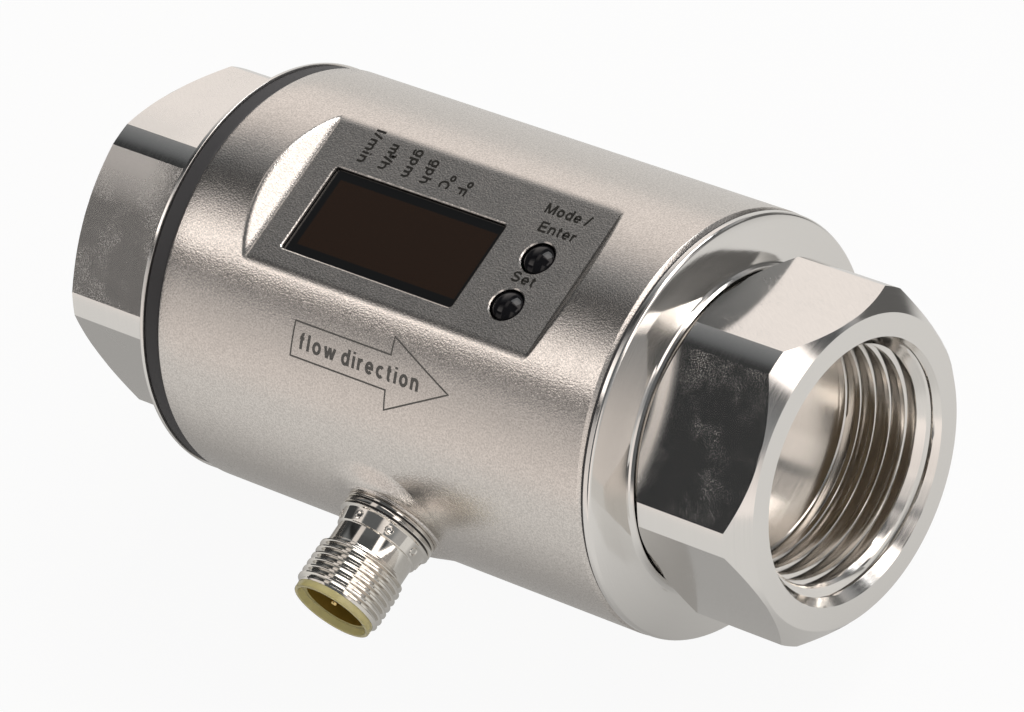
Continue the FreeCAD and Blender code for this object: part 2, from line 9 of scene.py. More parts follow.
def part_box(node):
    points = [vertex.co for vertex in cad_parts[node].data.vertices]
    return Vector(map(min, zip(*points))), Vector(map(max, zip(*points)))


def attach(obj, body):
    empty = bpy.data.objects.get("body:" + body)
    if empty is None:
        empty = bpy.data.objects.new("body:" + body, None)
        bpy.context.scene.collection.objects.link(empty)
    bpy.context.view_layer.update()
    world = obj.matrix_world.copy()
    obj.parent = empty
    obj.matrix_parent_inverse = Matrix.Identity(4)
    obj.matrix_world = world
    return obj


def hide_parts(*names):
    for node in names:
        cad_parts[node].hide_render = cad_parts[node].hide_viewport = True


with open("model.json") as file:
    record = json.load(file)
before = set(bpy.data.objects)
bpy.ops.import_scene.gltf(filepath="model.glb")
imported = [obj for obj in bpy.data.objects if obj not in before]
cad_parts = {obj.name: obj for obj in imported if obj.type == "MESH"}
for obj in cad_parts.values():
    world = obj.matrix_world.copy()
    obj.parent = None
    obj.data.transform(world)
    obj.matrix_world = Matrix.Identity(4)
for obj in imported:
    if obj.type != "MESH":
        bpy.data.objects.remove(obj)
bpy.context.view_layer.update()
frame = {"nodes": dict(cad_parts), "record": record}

mm = 0.001
print("frame loaded:", len(frame["nodes"]), "nodes")


# Node tools for the materials
class Shader:
    def __init__(self, name):
        self.material = bpy.data.materials.new(name)
        self.material.use_nodes = True
        self.tree = self.material.node_tree
        self.bsdf = self.tree.nodes["Principled BSDF"]

    def node(self, kind, **values):
        made = self.tree.nodes.new(kind)
        for key, value in values.items():
            if key in made.inputs:
                made.inputs[key].default_value = value
            else:
                setattr(made, key, value)
        return made

    def link(self, source, socket, target, name):
        self.tree.links.new(source.outputs[socket], target.inputs[name])

    def place(self):
        # object coordinates in millimetres
        coords = self.node("ShaderNodeTexCoord")
        mapping = self.node("ShaderNodeMapping")
        mapping.inputs["Scale"].default_value = (1 / mm, 1 / mm, 1 / mm)
        self.link(coords, "Object", mapping, "Vector")
        return mapping

    def noise(self, place, scale, detail=2.0, rough=0.5):
        made = self.node("ShaderNodeTexNoise", Scale=scale, Detail=detail, Roughness=rough)
        self.link(place, "Vector", made, "Vector")
        return made

    def spread(self, source, socket, low, high, fromLow=0.0, fromHigh=1.0):
        made = self.node("ShaderNodeMapRange")
        made.inputs["From Min"].default_value = fromLow
        made.inputs["From Max"].default_value = fromHigh
        made.inputs["To Min"].default_value = low
        made.inputs["To Max"].default_value = high
        self.link(source, socket, made, "Value")
        return made

    def blend(self, source, socket, colorA, colorB):
        made = self.node("ShaderNodeMix", data_type="RGBA")
        made.inputs[6].default_value = (*colorA, 1)
        made.inputs[7].default_value = (*colorB, 1)
        self.tree.links.new(source.outputs[socket], made.inputs[0])
        return made

    def color(self, mix):
        self.tree.links.new(mix.outputs[2], self.bsdf.inputs["Base Color"])

    def rough(self, source, socket, low, high, fromLow=0.0, fromHigh=1.0):
        spread = self.spread(source, socket, low, high, fromLow, fromHigh)
        self.link(spread, "Result", self.bsdf, "Roughness")

    def bump(self, source, socket, strength, distance):
        made = self.node("ShaderNodeBump", Strength=strength, Distance=distance)
        self.link(source, socket, made, "Height")
        self.link(made, "Normal", self.bsdf, "Normal")

    def parts(self, place):
        made = self.node("ShaderNodeSeparateXYZ")
        self.link(place, "Vector", made, "Vector")
        return made

    def combine(self, operation, first, second):
        # first and second are (node, socket)
        made = self.node("ShaderNodeMath", operation=operation)
        self.link(*first, made, 0)
        self.link(*second, made, 1)
        return made

    def set(self, **values):
        for key, value in values.items():
            self.bsdf.inputs[key.replace("_", " ")].default_value = value


noiseMiddle = (0.3, 0.7)        # the range that most of a noise lies in


# Bead-blasted stainless steel: an even grain of small dimples that glitters where the light changes
blastLook = {"light": (0.80, 0.762, 0.724), "dark": (0.61, 0.581, 0.552), "grainPerMm": 4.4,
             "grainEdges": (0.36, 0.64), "cloudPerMm": 0.3, "roughLow": 0.21, "roughHigh": 0.24,
             "bumpDepth": 0.000027}


def makeBlastedSteel():
    look = blastLook
    s = Shader("blastedSteel")
    s.set(Metallic=1.0)
    place = s.place()
    grain = s.noise(place, look["grainPerMm"], 2.0)
    cloud = s.noise(place, look["cloudPerMm"])
    sharper = s.spread(grain, "Fac", 0.0, 1.0, *look["grainEdges"])
    s.color(s.blend(sharper, "Result", look["dark"], look["light"]))
    s.rough(cloud, "Fac", look["roughLow"], look["roughHigh"], *noiseMiddle)
    s.bump(grain, "Fac", 1.0, look["bumpDepth"])
    return s.material


# Turned stainless steel: fine rings left by the tool round the pipe's axis
turnedLooks = {
    "turnedSteel": {"light": (0.86, 0.845, 0.82), "dark": (0.78, 0.765, 0.745), "ringsPerMm": 9.0,
                    "rough": 0.12, "bump": 0.12, "bumpDepth": 0.00001},
    # inside the port the same steel is paler, painted light for the thread and the bore, with coarser rings
    # and a rougher finish
    "threadSteel": {"light": (0.90, 0.88, 0.85), "dark": (0.80, 0.78, 0.75), "ringsPerMm": 6.0,
                    "rough": 0.13, "bump": 0.20, "bumpDepth": 0.00001},
}


def makeTurnedSteel(name):
    look = turnedLooks[name]
    s = Shader(name)
    s.set(Metallic=1.0, Anisotropic=0.6)
    place = s.place()
    parts = s.parts(place)
    flat = s.node("ShaderNodeCombineXYZ")
    s.link(parts, "Y", flat, "Y")
    s.link(parts, "Z", flat, "Z")
    radius = s.node("ShaderNodeVectorMath", operation="LENGTH")
    s.link(flat, "Vector", radius, 0)
    both = s.node("ShaderNodeCombineXYZ")
    s.link(parts, "X", both, "X")
    s.tree.links.new(radius.outputs["Value"], both.inputs["Y"])
    rings = s.noise(both, look["ringsPerMm"], 3.0, 0.7)
    s.color(s.blend(rings, "Fac", look["dark"], look["light"]))
    s.rough(rings, "Fac", look["rough"] * 0.8, look["rough"] * 1.4, *noiseMiddle)
    s.bump(rings, "Fac", look["bump"], look["bumpDepth"])
    around = s.node("ShaderNodeTangent", direction_type="RADIAL", axis="X")
    s.link(around, "Tangent", s.bsdf, "Tangent")
    return s.material


# Milled flats of the hexagons: faint slanting tool lines and clusters of short dull scratches
milledLook = {"light": (0.86, 0.845, 0.82), "dark": (0.76, 0.745, 0.725), "slantDeg": 35,
              "stretch": (0.15, 3.0, 3.0), "scratchesPerMm": 1.6, "nicksPerMm": 3.2,
              "nickEdges": (0.50, 0.66), "clustersPerMm": 0.192, "clusterEdges": (0.45, 0.72),
              "rough": 0.09, "nickRough": 0.32,
              "bump": 0.18, "bumpDepth": 0.000008, "inletDull": 0.40, "inletX": (-40, -30),
              "patchDull": 0.55, "patchX": (-47, -42), "patchZ": (19.0, 22.0)}


def makeMilledSteel():
    look = milledLook
    s = Shader("milledSteel")
    s.set(Metallic=1.0)
    place = s.place()
    slant = s.node("ShaderNodeVectorRotate", rotation_type="AXIS_ANGLE",
                   Angle=math.radians(look["slantDeg"]))
    slant.inputs["Axis"].default_value = (0, 1, 1)
    s.link(place, "Vector", slant, "Vector")
    stretch = s.node("ShaderNodeMapping")
    stretch.inputs["Scale"].default_value = look["stretch"]
    s.link(slant, "Vector", stretch, "Vector")
    lines = s.noise(stretch, look["scratchesPerMm"], 3.0, 0.6)
    s.color(s.blend(lines, "Fac", look["dark"], look["light"]))
    nicks = s.noise(stretch, look["nicksPerMm"], 3.0, 0.6)
    dull = s.spread(nicks, "Fac", 0.0, 1.0, *look["nickEdges"])
    clusters = s.noise(place, look["clustersPerMm"], 3.0)
    gathered = s.spread(clusters, "Fac", 0.10, 1.0, *look["clusterEdges"])
    scratched = s.combine("MULTIPLY", (dull, "Result"), (gathered, "Result"))
    # the inlet's flats are duller all over, most of all at their upper outer corners
    parts = s.parts(place)
    outward = s.spread(parts, "X", look["patchDull"], 0.0, *look["patchX"])
    upward = s.spread(parts, "Z", 0.0, 1.0, *look["patchZ"])
    patch = s.combine("MULTIPLY", (outward, "Result"), (upward, "Result"))
    inlet = s.spread(parts, "X", look["inletDull"], 0.0, *look["inletX"])
    worn = s.combine("ADD", (inlet, "Result"), (patch, "Value"))
    total = s.combine("ADD", (scratched, "Value"), (worn, "Value"))
    s.rough(total, "Value", look["rough"], look["nickRough"])
    s.bump(lines, "Fac", look["bump"], look["bumpDepth"])
    return s.material


# Plated and plain metals; grain counts its patches in a millimetre
platedLooks = {
    "nickelPlate": {"light": (0.86, 0.835, 0.79), "dark": (0.76, 0.735, 0.69), "grain": 2.5, "rough": 0.07},
    "goldContact": {"light": (0.85, 0.65, 0.30), "dark": (0.78, 0.58, 0.25), "grain": 3.0, "rough": 0.20},
    "softIron": {"light": (0.46, 0.46, 0.47), "dark": (0.34, 0.34, 0.35), "grain": 1.2, "rough": 0.38},
    "turnedBrass": {"light": (0.78, 0.62, 0.32), "dark": (0.70, 0.54, 0.27), "grain": 3.0, "rough": 0.25},
}
platedBump = {"strength": 0.06, "depth": 0.00002}


def makePlated(name):
    look = platedLooks[name]
    s = Shader(name)
    s.set(Metallic=1.0)
    grain = s.noise(s.place(), look["grain"], 3.0)
    s.color(s.blend(grain, "Fac", look["dark"], look["light"]))
    s.rough(grain, "Fac", look["rough"] * 0.8, look["rough"] * 1.3, *noiseMiddle)
    s.bump(grain, "Fac", platedBump["strength"], platedBump["depth"])
    return s.material


# Rubber, plastics, prints and wire; shine is the specular level where it isn't the usual one
plasticBumpDepth = 0.00004
softLooks = {
    "sealRubber": {"light": (0.060, 0.060, 0.064), "dark": (0.040, 0.040, 0.043), "grain": 3.0,
                   "rough": 0.55, "bump": 0.25},
    # the same black also lines the floors of the plug's two grooves, as painted shade
    "blackPlastic": {"light": (0.030, 0.030, 0.032), "dark": (0.020, 0.020, 0.021), "grain": 4.0,
                     "rough": 0.45, "bump": 0.15},
    "linerPlastic": {"light": (0.66, 0.57, 0.44), "dark": (0.58, 0.50, 0.38), "grain": 1.5,
                     "rough": 0.40, "bump": 0.10},
    "buttonPlastic": {"light": (0.008, 0.008, 0.010), "dark": (0.005, 0.005, 0.006), "grain": 2.0,
                      "rough": 0.05, "bump": 0.01, "shine": 0.3},
    "printedLegend": {"light": (0.030, 0.029, 0.026), "dark": (0.018, 0.017, 0.015), "grain": 5.0,
                      "rough": 0.65, "bump": 0.02, "shine": 0.15},
    "etchedLegend": {"light": (0.16, 0.155, 0.145), "dark": (0.10, 0.098, 0.092), "grain": 5.0,
                     "rough": 0.50, "bump": 0.05},
    "displayBlack": {"light": (0.020, 0.018, 0.018), "dark": (0.012, 0.011, 0.011), "grain": 2.0,
                     "rough": 0.30, "bump": 0.04},
    "coilWire": {"light": (0.55, 0.24, 0.09), "dark": (0.42, 0.17, 0.06), "grain": 2.2,
                 "rough": 0.30, "bump": 0.30},
}


def makePlastic(name):
    look = softLooks[name]
    s = Shader(name)
    grain = s.noise(s.place(), look["grain"], 3.0)
    s.color(s.blend(grain, "Fac", look["dark"], look["light"]))
    s.rough(grain, "Fac", look["rough"] * 0.9, look["rough"] * 1.15, *noiseMiddle)
    s.bump(grain, "Fac", look["bump"], plasticBumpDepth)
    s.set(Specular_IOR_Level=look.get("shine", 0.5))
    return s.material


# Circuit board: green lacquer with a faint pattern of tracks under it
boardLook = {"lacquer": (0.012, 0.120, 0.050), "track": (0.020, 0.190, 0.080), "tracksPerMm": 0.35,
             "rough": (0.30, 0.42), "coat": 0.4, "coatRough": 0.15}


def makeBoard():
    look = boardLook
    s = Shader("circuitBoard")
    s.set(Coat_Weight=look["coat"], Coat_Roughness=look["coatRough"])
    tracks = s.node("ShaderNodeTexBrick", Scale=look["tracksPerMm"])
    s.link(s.place(), "Vector", tracks, "Vector")
    s.color(s.blend(tracks, "Fac", look["lacquer"], look["track"]))
    s.rough(tracks, "Fac", *look["rough"])
    return s.material


# Amber nylon of the plug's insert, with a darkened copy of it painted as shade in the insert's deep hole
amberLooks = {
    "amberNylon": {"light": (0.92, 0.86, 0.46), "dark": (0.84, 0.76, 0.36), "rough": 0.18, "through": 0.45},
    # painted shade: the same amber darkened and not see-through, for the deep hole
    "amberDeep": {"light": (0.26, 0.17, 0.025), "dark": (0.19, 0.12, 0.015), "rough": 0.30, "through": 0.0},
}


def makeAmber(name):
    look = amberLooks[name]
    s = Shader(name)
    s.set(Transmission_Weight=look["through"], IOR=1.5)
    grain = s.noise(s.place(), 0.9, 2.0)
    s.color(s.blend(grain, "Fac", look["dark"], look["light"]))
    s.rough(grain, "Fac", look["rough"] * 0.8, look["rough"] * 1.3)
    return s.material


# Window: dark brown glass with a black border painted round its clear field, in millimetres; the border is
# the display's dark frame behind the glass with painted shade from the recess's sides over it
windowLook = {"middle": (0.0190, 0.0085, 0.0035), "frameAndShade": (0.0035, 0.0035, 0.0038), "rough": 0.06,
              "grain": 0.6, "fieldX": (-16.94, 8.96), "fieldY": (-6.96, 3.20), "fieldEdge": 0.06}


def makeWindowGlass():
    look = windowLook
    s = Shader("windowGlass")
    place = s.place()
    parts = s.parts(place)
    distances = []
    for axis, (low, high) in (("X", look["fieldX"]), ("Y", look["fieldY"])):
        shift = s.node("ShaderNodeMath", operation="SUBTRACT")
        shift.inputs[1].default_value = (low + high) / 2
        s.link(parts, axis, shift, 0)
        size = s.node("ShaderNodeMath", operation="ABSOLUTE")
        s.link(shift, "Value", size, 0)
        edge = s.node("ShaderNodeMath", operation="SUBTRACT")
        edge.inputs[0].default_value = (high - low) / 2
        s.link(size, "Value", edge, 1)
        distances.append((edge, "Value"))
    nearest = s.combine("MINIMUM", *distances)
    inside = s.spread(nearest, "Value", 0, 1, -look["fieldEdge"], look["fieldEdge"])
    # the black round the field: the dark frame with painted shade over it
    s.color(s.blend(inside, "Result", look["frameAndShade"], look["middle"]))
    grain = s.noise(place, look["grain"], 2.0)
    s.rough(grain, "Fac", look["rough"] * 0.8, look["rough"] * 1.5)
    return s.material


materials = {"blastedSteel": makeBlastedSteel(), "milledSteel": makeMilledSteel(),
             "circuitBoard": makeBoard(), "windowGlass": makeWindowGlass()}
for name in turnedLooks:
    materials[name] = makeTurnedSteel(name)
for name in amberLooks:
    materials[name] = makeAmber(name)
for name in platedLooks:
    materials[name] = makePlated(name)
for name in softLooks:
    materials[name] = makePlastic(name)

# the node's slot in the record, and the finish that its own mesh gets
slotMaterials = {"blasted_steel": "blastedSteel", "turned_steel": "turnedSteel",
                 "seal_rubber": "sealRubber", "liner_plastic": "linerPlastic", "magnet_iron": "softIron",
                 "coil_winding": "coilWire", "black_plastic": "blackPlastic",
                 "board_green": "circuitBoard", "spacer_brass": "turnedBrass",
                 "display_black": "displayBlack", "window_glass": "windowGlass",
                 "button_black": "buttonPlastic", "nickel_plate": "nickelPlate",
                 "amber_nylon": "amberNylon", "gold_contact": "goldContact"}
nodeSlots = {part["node"]: part["material_slot"] for part in frame["record"]["subparts"]}
for name, node in frame["nodes"].items():
    node.data.materials.clear()
    node.data.materials.append(materials[slotMaterials[nodeSlots[name]]])
print("materials made:", len(materials))


# Mesh tools, in millimetres
weldGap = 0.0004                # points closer than this are joined
cutGap = 0.0005                 # the same after a cut


def softCorners(corners, steps=3):
    # each corner is (u, v) or (u, v, radius); round corners become short arcs
    points = []
    count = len(corners)
    for i, corner in enumerate(corners):
        spot = Vector(corner[:2])
        if len(corner) < 3 or corner[2] == 0:
            points.append(tuple(spot))
            continue
        toLast = (Vector(corners[i - 1][:2]) - spot).normalized()
        toNext = (Vector(corners[(i + 1) % count][:2]) - spot).normalized()
        half = toLast.angle(toNext) / 2
        reach = corner[2] / math.tan(half)
        centre = spot + (toLast + toNext).normalized() * (corner[2] / math.sin(half))
        start = spot + toLast * reach - centre
        end = spot + toNext * reach - centre
        for k in range(steps + 1):
            arm = start.lerp(end, k / steps).normalized() * corner[2]
            points.append(tuple(centre + arm))
    return points


def gridFaces(rows, columns, wrapRows=False, wrapColumns=False):
    faces = []
    for i in range(rows if wrapRows else rows - 1):
        for j in range(columns if wrapColumns else columns - 1):
            a, b = i * columns + j, i * columns + (j + 1) % columns
            c, d = ((i + 1) % rows) * columns + (j + 1) % columns, ((i + 1) % rows) * columns + j
            faces.append((a, b, c, d))
    return faces


class Piece:
    # collects grids of points, then becomes one Blender object
    def __init__(self, name):
        self.name = name
        self.points = []
        self.faces = []
        self.slots = []

    def add(self, points, faces, slot=0):
        first = len(self.points)
        self.points += [tuple(p) for p in points]
        self.faces += [tuple(first + i for i in face) for face in faces]
        self.slots += [slot] * len(faces)
        return self

    def grid(self, points, columns, slot=0, wrapRows=False, wrapColumns=False):
        rows = len(points) // columns
        return self.add(points, gridFaces(rows, columns, wrapRows, wrapColumns), slot)

    def build(self, body, slot, nodes, mats, sharp, cut=()):
        # sharp is the angle in degrees from which an edge stays crisp
        mesh = bpy.data.meshes.new(self.name)
        mesh.from_pydata([[c * mm for c in p] for p in self.points], [], self.faces)
        for polygon, index in zip(mesh.polygons, self.slots):
            polygon.material_index = index
        work = bmesh.new()
        work.from_mesh(mesh)
        bmesh.ops.remove_doubles(work, verts=work.verts, dist=weldGap * mm)
        bmesh.ops.dissolve_degenerate(work, edges=work.edges, dist=weldGap * mm)
        bmesh.ops.recalc_face_normals(work, faces=work.faces)
        work.to_mesh(mesh)
        work.free()
        piece = bpy.data.objects.new(self.name, mesh)
        bpy.context.scene.collection.objects.link(piece)
        for name in mats:
            mesh.materials.append(materials[name])
        if cut:
            cutWith(piece, cut)
        piece.data.shade_smooth()
        piece.data.set_sharp_from_angle(angle=math.radians(sharp))
        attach(piece, body)
        if nodes:
            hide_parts(*nodes)
        print("built", self.name, len(piece.data.polygons), "faces")


def cutWith(piece, cutters):
    for cutter in cutters:
        change = piece.modifiers.new("cut", "BOOLEAN")
        change.operation = "DIFFERENCE"
        change.solver = "EXACT"
        change.object = cutter
    graph = bpy.context.evaluated_depsgraph_get()
    result = bpy.data.meshes.new_from_object(piece.evaluated_get(graph))
    piece.modifiers.clear()
    piece.data = result
    # the cut can leave a pinhole at a crossing of edges
    work = bmesh.new()
    work.from_mesh(result)
    bmesh.ops.remove_doubles(work, verts=work.verts, dist=cutGap * mm)
    bmesh.ops.holes_fill(work, edges=work.edges, sides=4)
    work.to_mesh(result)
    work.free()
    for cutter in cutters:
        bpy.data.objects.remove(cutter)


def solidObject(name, points, columns):
    # a closed grid of rings, used as a cutter
    rows = len(points) // columns
    faces = gridFaces(rows, columns, False, True)
    faces.append(tuple(range(columns - 1, -1, -1)))
    faces.append(tuple((rows - 1) * columns + i for i in range(columns)))
    mesh = bpy.data.meshes.new(name)
    mesh.from_pydata([[c * mm for c in p] for p in points], [], faces)
    work = bmesh.new()
    work.from_mesh(mesh)
    bmesh.ops.recalc_face_normals(work, faces=work.faces)
    work.to_mesh(mesh)
    work.free()
    made = bpy.data.objects.new(name, mesh)
    bpy.context.scene.collection.objects.link(made)
    return made


def aboutX(x, radius, angle):
    # angle runs from +Y towards +Z
    return (x, radius * math.cos(angle), radius * math.sin(angle))


def boxMm(node):
    low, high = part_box(node)
    return [c / mm for c in low], [c / mm for c in high]


plugX = sum(side[0] for side in boxMm("connector_shell")) / 2


def aboutPlug(reach, radius, angle):
    # the plug's axis runs along -Y
    return (plugX + radius * math.cos(angle), -reach, radius * math.sin(angle))


def aboutUpright(x, y):
    # for an axis that stands at (x, y)
    return lambda z, radius, angle: (x + radius * math.cos(angle), y + radius * math.sin(angle), z)


def turnsOf(steps):
    return [2 * math.pi * i / steps for i in range(steps)]


def spun(profile, place, steps):
    return [place(u, r, angle) for u, r in profile for angle in turnsOf(steps)]


def roundedRect(x0, x1, y0, y1, radius, steps):
    # corner points, anticlockwise from the lowest x and y
    points = []
    corners = ((x0 + radius, y0 + radius, 180), (x1 - radius, y0 + radius, 270),
               (x1 - radius, y1 - radius, 0), (x0 + radius, y1 - radius, 90))
    for x, y, turn in corners:
        for k in range(steps + 1):
            angle = math.radians(turn + 90 * k / steps)
            points.append((x + radius * math.cos(angle), y + radius * math.sin(angle)))
    return points


def lathe(name, profile, place, steps, *finish, **more):
    # finish is what Piece.build takes
    Piece(name).grid(spun(profile, place, steps), steps, 0, True, True).build(*finish, **more)


def denseLines(start, end, coarse, marks):
    # values from start to end, finer inside each (low, high, step) mark
    values = [start]
    while values[-1] < end - 1e-9:
        here = values[-1]
        step = coarse
        for low, high, fine in marks:
            if low - 1e-9 <= here < high - 1e-9:
                step = min(step, fine)
            elif here < low:
                step = min(step, max(low - here, 1e-6))
        values.append(min(here + step, end))
    return values


def smoothLeast(a, b, soft):
    # the smaller of the two, with a rounded change from one to the other
    gap = max(soft - abs(a - b), 0) / soft
    return min(a, b) - gap * gap * soft / 4


def ease(t):
    t = min(max(t, 0.0), 1.0)
    return t * t * (3 - 2 * t)


# Housing
housingSizes = {"radius": 27.5, "wall": 3.0, "edge": 0.5, "flatHeight": 25.05, "flatFrom": -22.45,
                "flatTo": 23.65, "slopeDeg": 45.0, "edgeSoftness": 0.30, "footSoftness": 0.35,
                "windowCorner": 0.5, "windowGap": 0.05, "windowBevel": 0.10, "ledge": 1.5,
                "paneFloor": 23.05, "bossRadius": 7.3, "bossHeight": 0.2, "bossChamfer": 0.22,
                "bossSpread": 3.2, "plugHole": 5.05, "buttonHole": 2.3, "buttonBevel": 0.15}
housingSteps = {"alongX": 3.0, "nearFlat": 0.22, "turnDeg": 2.5, "roundTop": (62.0, 118.0, 0.45),
                "roundEdges": ((64.6, 66.6, 0.2), (113.4, 115.4, 0.2)), "boss": 144, "holes": 64,
                "plugHole": 96, "corner": 6}


def flatHeightAt(x):
    # the flat's height, which climbs past its two ends
    h = housingSizes
    rise = math.tan(math.radians(h["slopeDeg"]))
    past = max(h["flatFrom"] - x, x - h["flatTo"])
    soft = h["footSoftness"]
    if abs(past) < soft:
        return h["flatHeight"] + rise * (past + soft) ** 2 / (4 * soft)
    return h["flatHeight"] + rise * max(past, 0.0)


def housingPoint(x, angle, edgeRadius):
    h = housingSizes
    radius = edgeRadius
    if math.sin(angle) > 0.3:
        radius = smoothLeast(edgeRadius, flatHeightAt(x) / math.sin(angle), h["edgeSoftness"])
    return aboutX(x, radius, angle)


def windowCutter(grow, low, high, widenTop=0.0):
    h = housingSizes
    paneLow, paneHigh = boxMm("display_window")
    rings = []
    for z, extra in ((low, 0.0), (high, widenTop)):
        more = grow + extra
        rect = roundedRect(paneLow[0] - more, paneHigh[0] + more, paneLow[1] - more, paneHigh[1] + more,
                           h["windowCorner"] + extra, housingSteps["corner"])
        rings += [(x, y, z) for x, y in rect]
    return solidObject("windowCutter", rings, len(rings) // 2)


def roundCutter(x, y, profile):
    steps = housingSteps["holes"]
    return solidObject("roundCutter", spun(profile, aboutUpright(x, y), steps), steps)


def plugHoleCutter():
    h, steps = housingSizes, housingSteps["plugHole"]
    profile = [(h["radius"] - h["wall"] - 2, h["plugHole"]), (h["radius"] + 1, h["plugHole"])]
    return solidObject("plugHoleCutter", spun(profile, aboutPlug, steps), steps)


def bossReach(spread, angle):
    # height of the low pad round the plug: flat, a small chamfer, then a long blend down to the barrel
    h = housingSizes
    top = h["radius"] + h["bossHeight"]
    drop = max(min(spread, h["bossRadius"]) - (h["bossRadius"] - h["bossChamfer"]), 0.0)
    if spread <= h["bossRadius"]:
        return top - drop
    barrel = barrelReach(spread * math.sin(angle))
    lift = max(top - drop - barrelReach(h["bossRadius"] * math.sin(angle)), 0.0)
    share = (spread - h["bossRadius"]) / h["bossSpread"]
    return barrel + lift * (1 - ease(share)) - 0.03 * share


def barrelReach(z):
    return math.sqrt(housingSizes["radius"] ** 2 - z * z)


def makePlugBoss():
    h = housingSizes
    steps = housingSteps["boss"]
    reach = h["bossRadius"] + h["bossSpread"]
    start = h["bossRadius"] - h["bossChamfer"] - 0.1
    spreads = [h["plugHole"], h["bossRadius"] - 0.9]
    spreads += denseLines(start, reach, 0.25, [(start, h["bossRadius"] + 0.2, 0.06)])
    points = [aboutPlug(bossReach(spread, angle), spread, angle)
              for spread in spreads for angle in turnsOf(steps)]
    points += [aboutPlug(barrelReach(spread * math.sin(angle)) - 0.6, spread, angle)
               for spread in (reach, h["plugHole"]) for angle in turnsOf(steps)]
    boss = Piece("plugBoss").grid(points, steps, 0, True, True)
    boss.build("root", "blasted_steel", [], ["blastedSteel"], sharp=60)


def housingRows(inlet, outlet):
    # (x, radius) along the barrel, rounded at the inlet end and chamfered at the outlet end
    h, t = housingSizes, housingSteps
    edge, radius = h["edge"], h["radius"]
    span = (radius - h["flatHeight"]) / math.tan(math.radians(h["slopeDeg"])) + 1.0
    slopes = [(h["flatFrom"] - span, h["flatFrom"] + 0.8, t["nearFlat"]),
              (h["flatTo"] - 0.8, h["flatTo"] + span, t["nearFlat"])]
    rows = [(inlet, radius - edge)]
    for k in range(1, 4):
        bend = math.radians(90 * k / 4)
        rows.append((inlet + edge * (1 - math.cos(bend)), radius - edge * (1 - math.sin(bend))))
    rows += [(x, radius) for x in denseLines(inlet + edge, outlet - edge, t["alongX"], slopes)]
    rows += [(outlet - edge + 0.04, radius - 0.02), (outlet - 0.04, radius - edge + 0.02),
             (outlet, radius - edge - 0.04)]
    return rows


def housingCutters(inner):
    h = housingSizes
    flat, bevel, gap, floor = h["flatHeight"], h["windowBevel"], h["windowGap"], h["paneFloor"]
    cuts = [windowCutter(gap, floor, flat + 0.5),
            windowCutter(gap, flat - bevel, flat + 0.02, bevel + 0.02),
            windowCutter(gap, flat - bevel * 0.9, flat + 0.04, bevel * 2.4),
            windowCutter(-h["ledge"], inner - 4.0, floor + 0.2)]
    bore, bevel = h["buttonHole"], h["buttonBevel"]
    for name in ("mode_button", "set_button"):
        low, high = boxMm(name)
        profile = [(inner - 4.0, bore), (flat - bevel, bore), (flat + 0.1, bore + bevel + 0.1)]
        cuts.append(roundCutter((low[0] + high[0]) / 2, (low[1] + high[1]) / 2, profile))
    cuts.append(plugHoleCutter())
    return cuts


def makeHousing():
    t = housingSteps
    low, high = boxMm("housing")
    inner = housingSizes["radius"] - housingSizes["wall"]
    degrees = denseLines(0.0, 360.0, t["turnDeg"], [t["roundTop"], *t["roundEdges"]])[:-1]
    angles = [math.radians(a) for a in degrees]
    points = [housingPoint(x, a, radius) for x, radius in housingRows(low[0], high[0]) for a in angles]
    points += [aboutX(x, inner, a) for x in (high[0], low[0]) for a in angles]
    shell = Piece("housingShell").grid(points, len(angles), 0, True, True)
    shell.build("root", "blasted_steel", ["housing"], ["blastedSteel"], sharp=24, cut=housingCutters(inner))
    makePlugBoss()


# Port fittings: flange, dish, neck, hexagon and a threaded port
fittingSizes = {"flatRadius": 20.5, "cornerRadius": 22.76, "backChamfer": 1.9, "faceRadius": 20.1,
                "neckRadius": 20.9, "neckFillet": 0.8, "neckEdge": 0.06, "grooveRadius": 19.5,
                "grooveWidth": 0.45, "flangeRadius": 27.4, "spigotRadius": 24.45, "boreRadius": 10.0,
                "seatRadius": 12.55, "portRadius": 15.15, "portMouth": 17.1, "mouthDepth": 2.9,
                "portBehindHex": 0.9, "seatDepth": 4.6}
fittingEnds = {"inlet": {"side": -1, "rimWidth": 0.7, "hexLength": 16.8, "frontChamfer": 1.65},
               "outlet": {"side": 1, "rimWidth": 1.0, "hexLength": 17.5, "frontChamfer": 2.4}}
# crest and root are shares of the pitch; the thread begins start turns early, where it is still hidden,
# and grows to its full depth over fade turns
threadSizes = {"pitch": 2.309, "depth": 1.38, "length": 14.5, "columns": 14, "crest": 0.28, "root": 0.12,
               "start": 1.6, "fade": 0.7}
bandSteps = 24                  # steps along each turned corner of the hexagon
sectorPoints = bandSteps + 2    # points of one sixth: three on the flat's middle, the rest on the corner


def hexAngles(radius):
    # six sectors; a flat fills the middle of each as far as this radius passes it
    f = fittingSizes
    half = math.radians(0.5)
    if radius > f["flatRadius"]:
        half = max(half, math.acos(f["flatRadius"] / radius))
    angles = []
    for k in range(6):
        middle = math.radians(60 * k)
        angles += [middle - half, middle, middle + half]
        gap = math.radians(60) - 2 * half
        angles += [middle + half + gap * i / bandSteps for i in range(1, bandSteps)]
    return angles


def hexRing(x, radius):
    f = fittingSizes
    ring = []
    for i, angle in enumerate(hexAngles(radius)):
        middle = math.radians(60 * (i // sectorPoints))
        reach = radius
        if i % sectorPoints < 3:
            reach = min(radius, f["flatRadius"] / math.cos(angle - middle))
        ring.append(aboutX(x, reach, angle))
    return ring


def roundRing(x, radius):
    return [aboutX(x, radius, angle) for angle in hexAngles(0.0)]


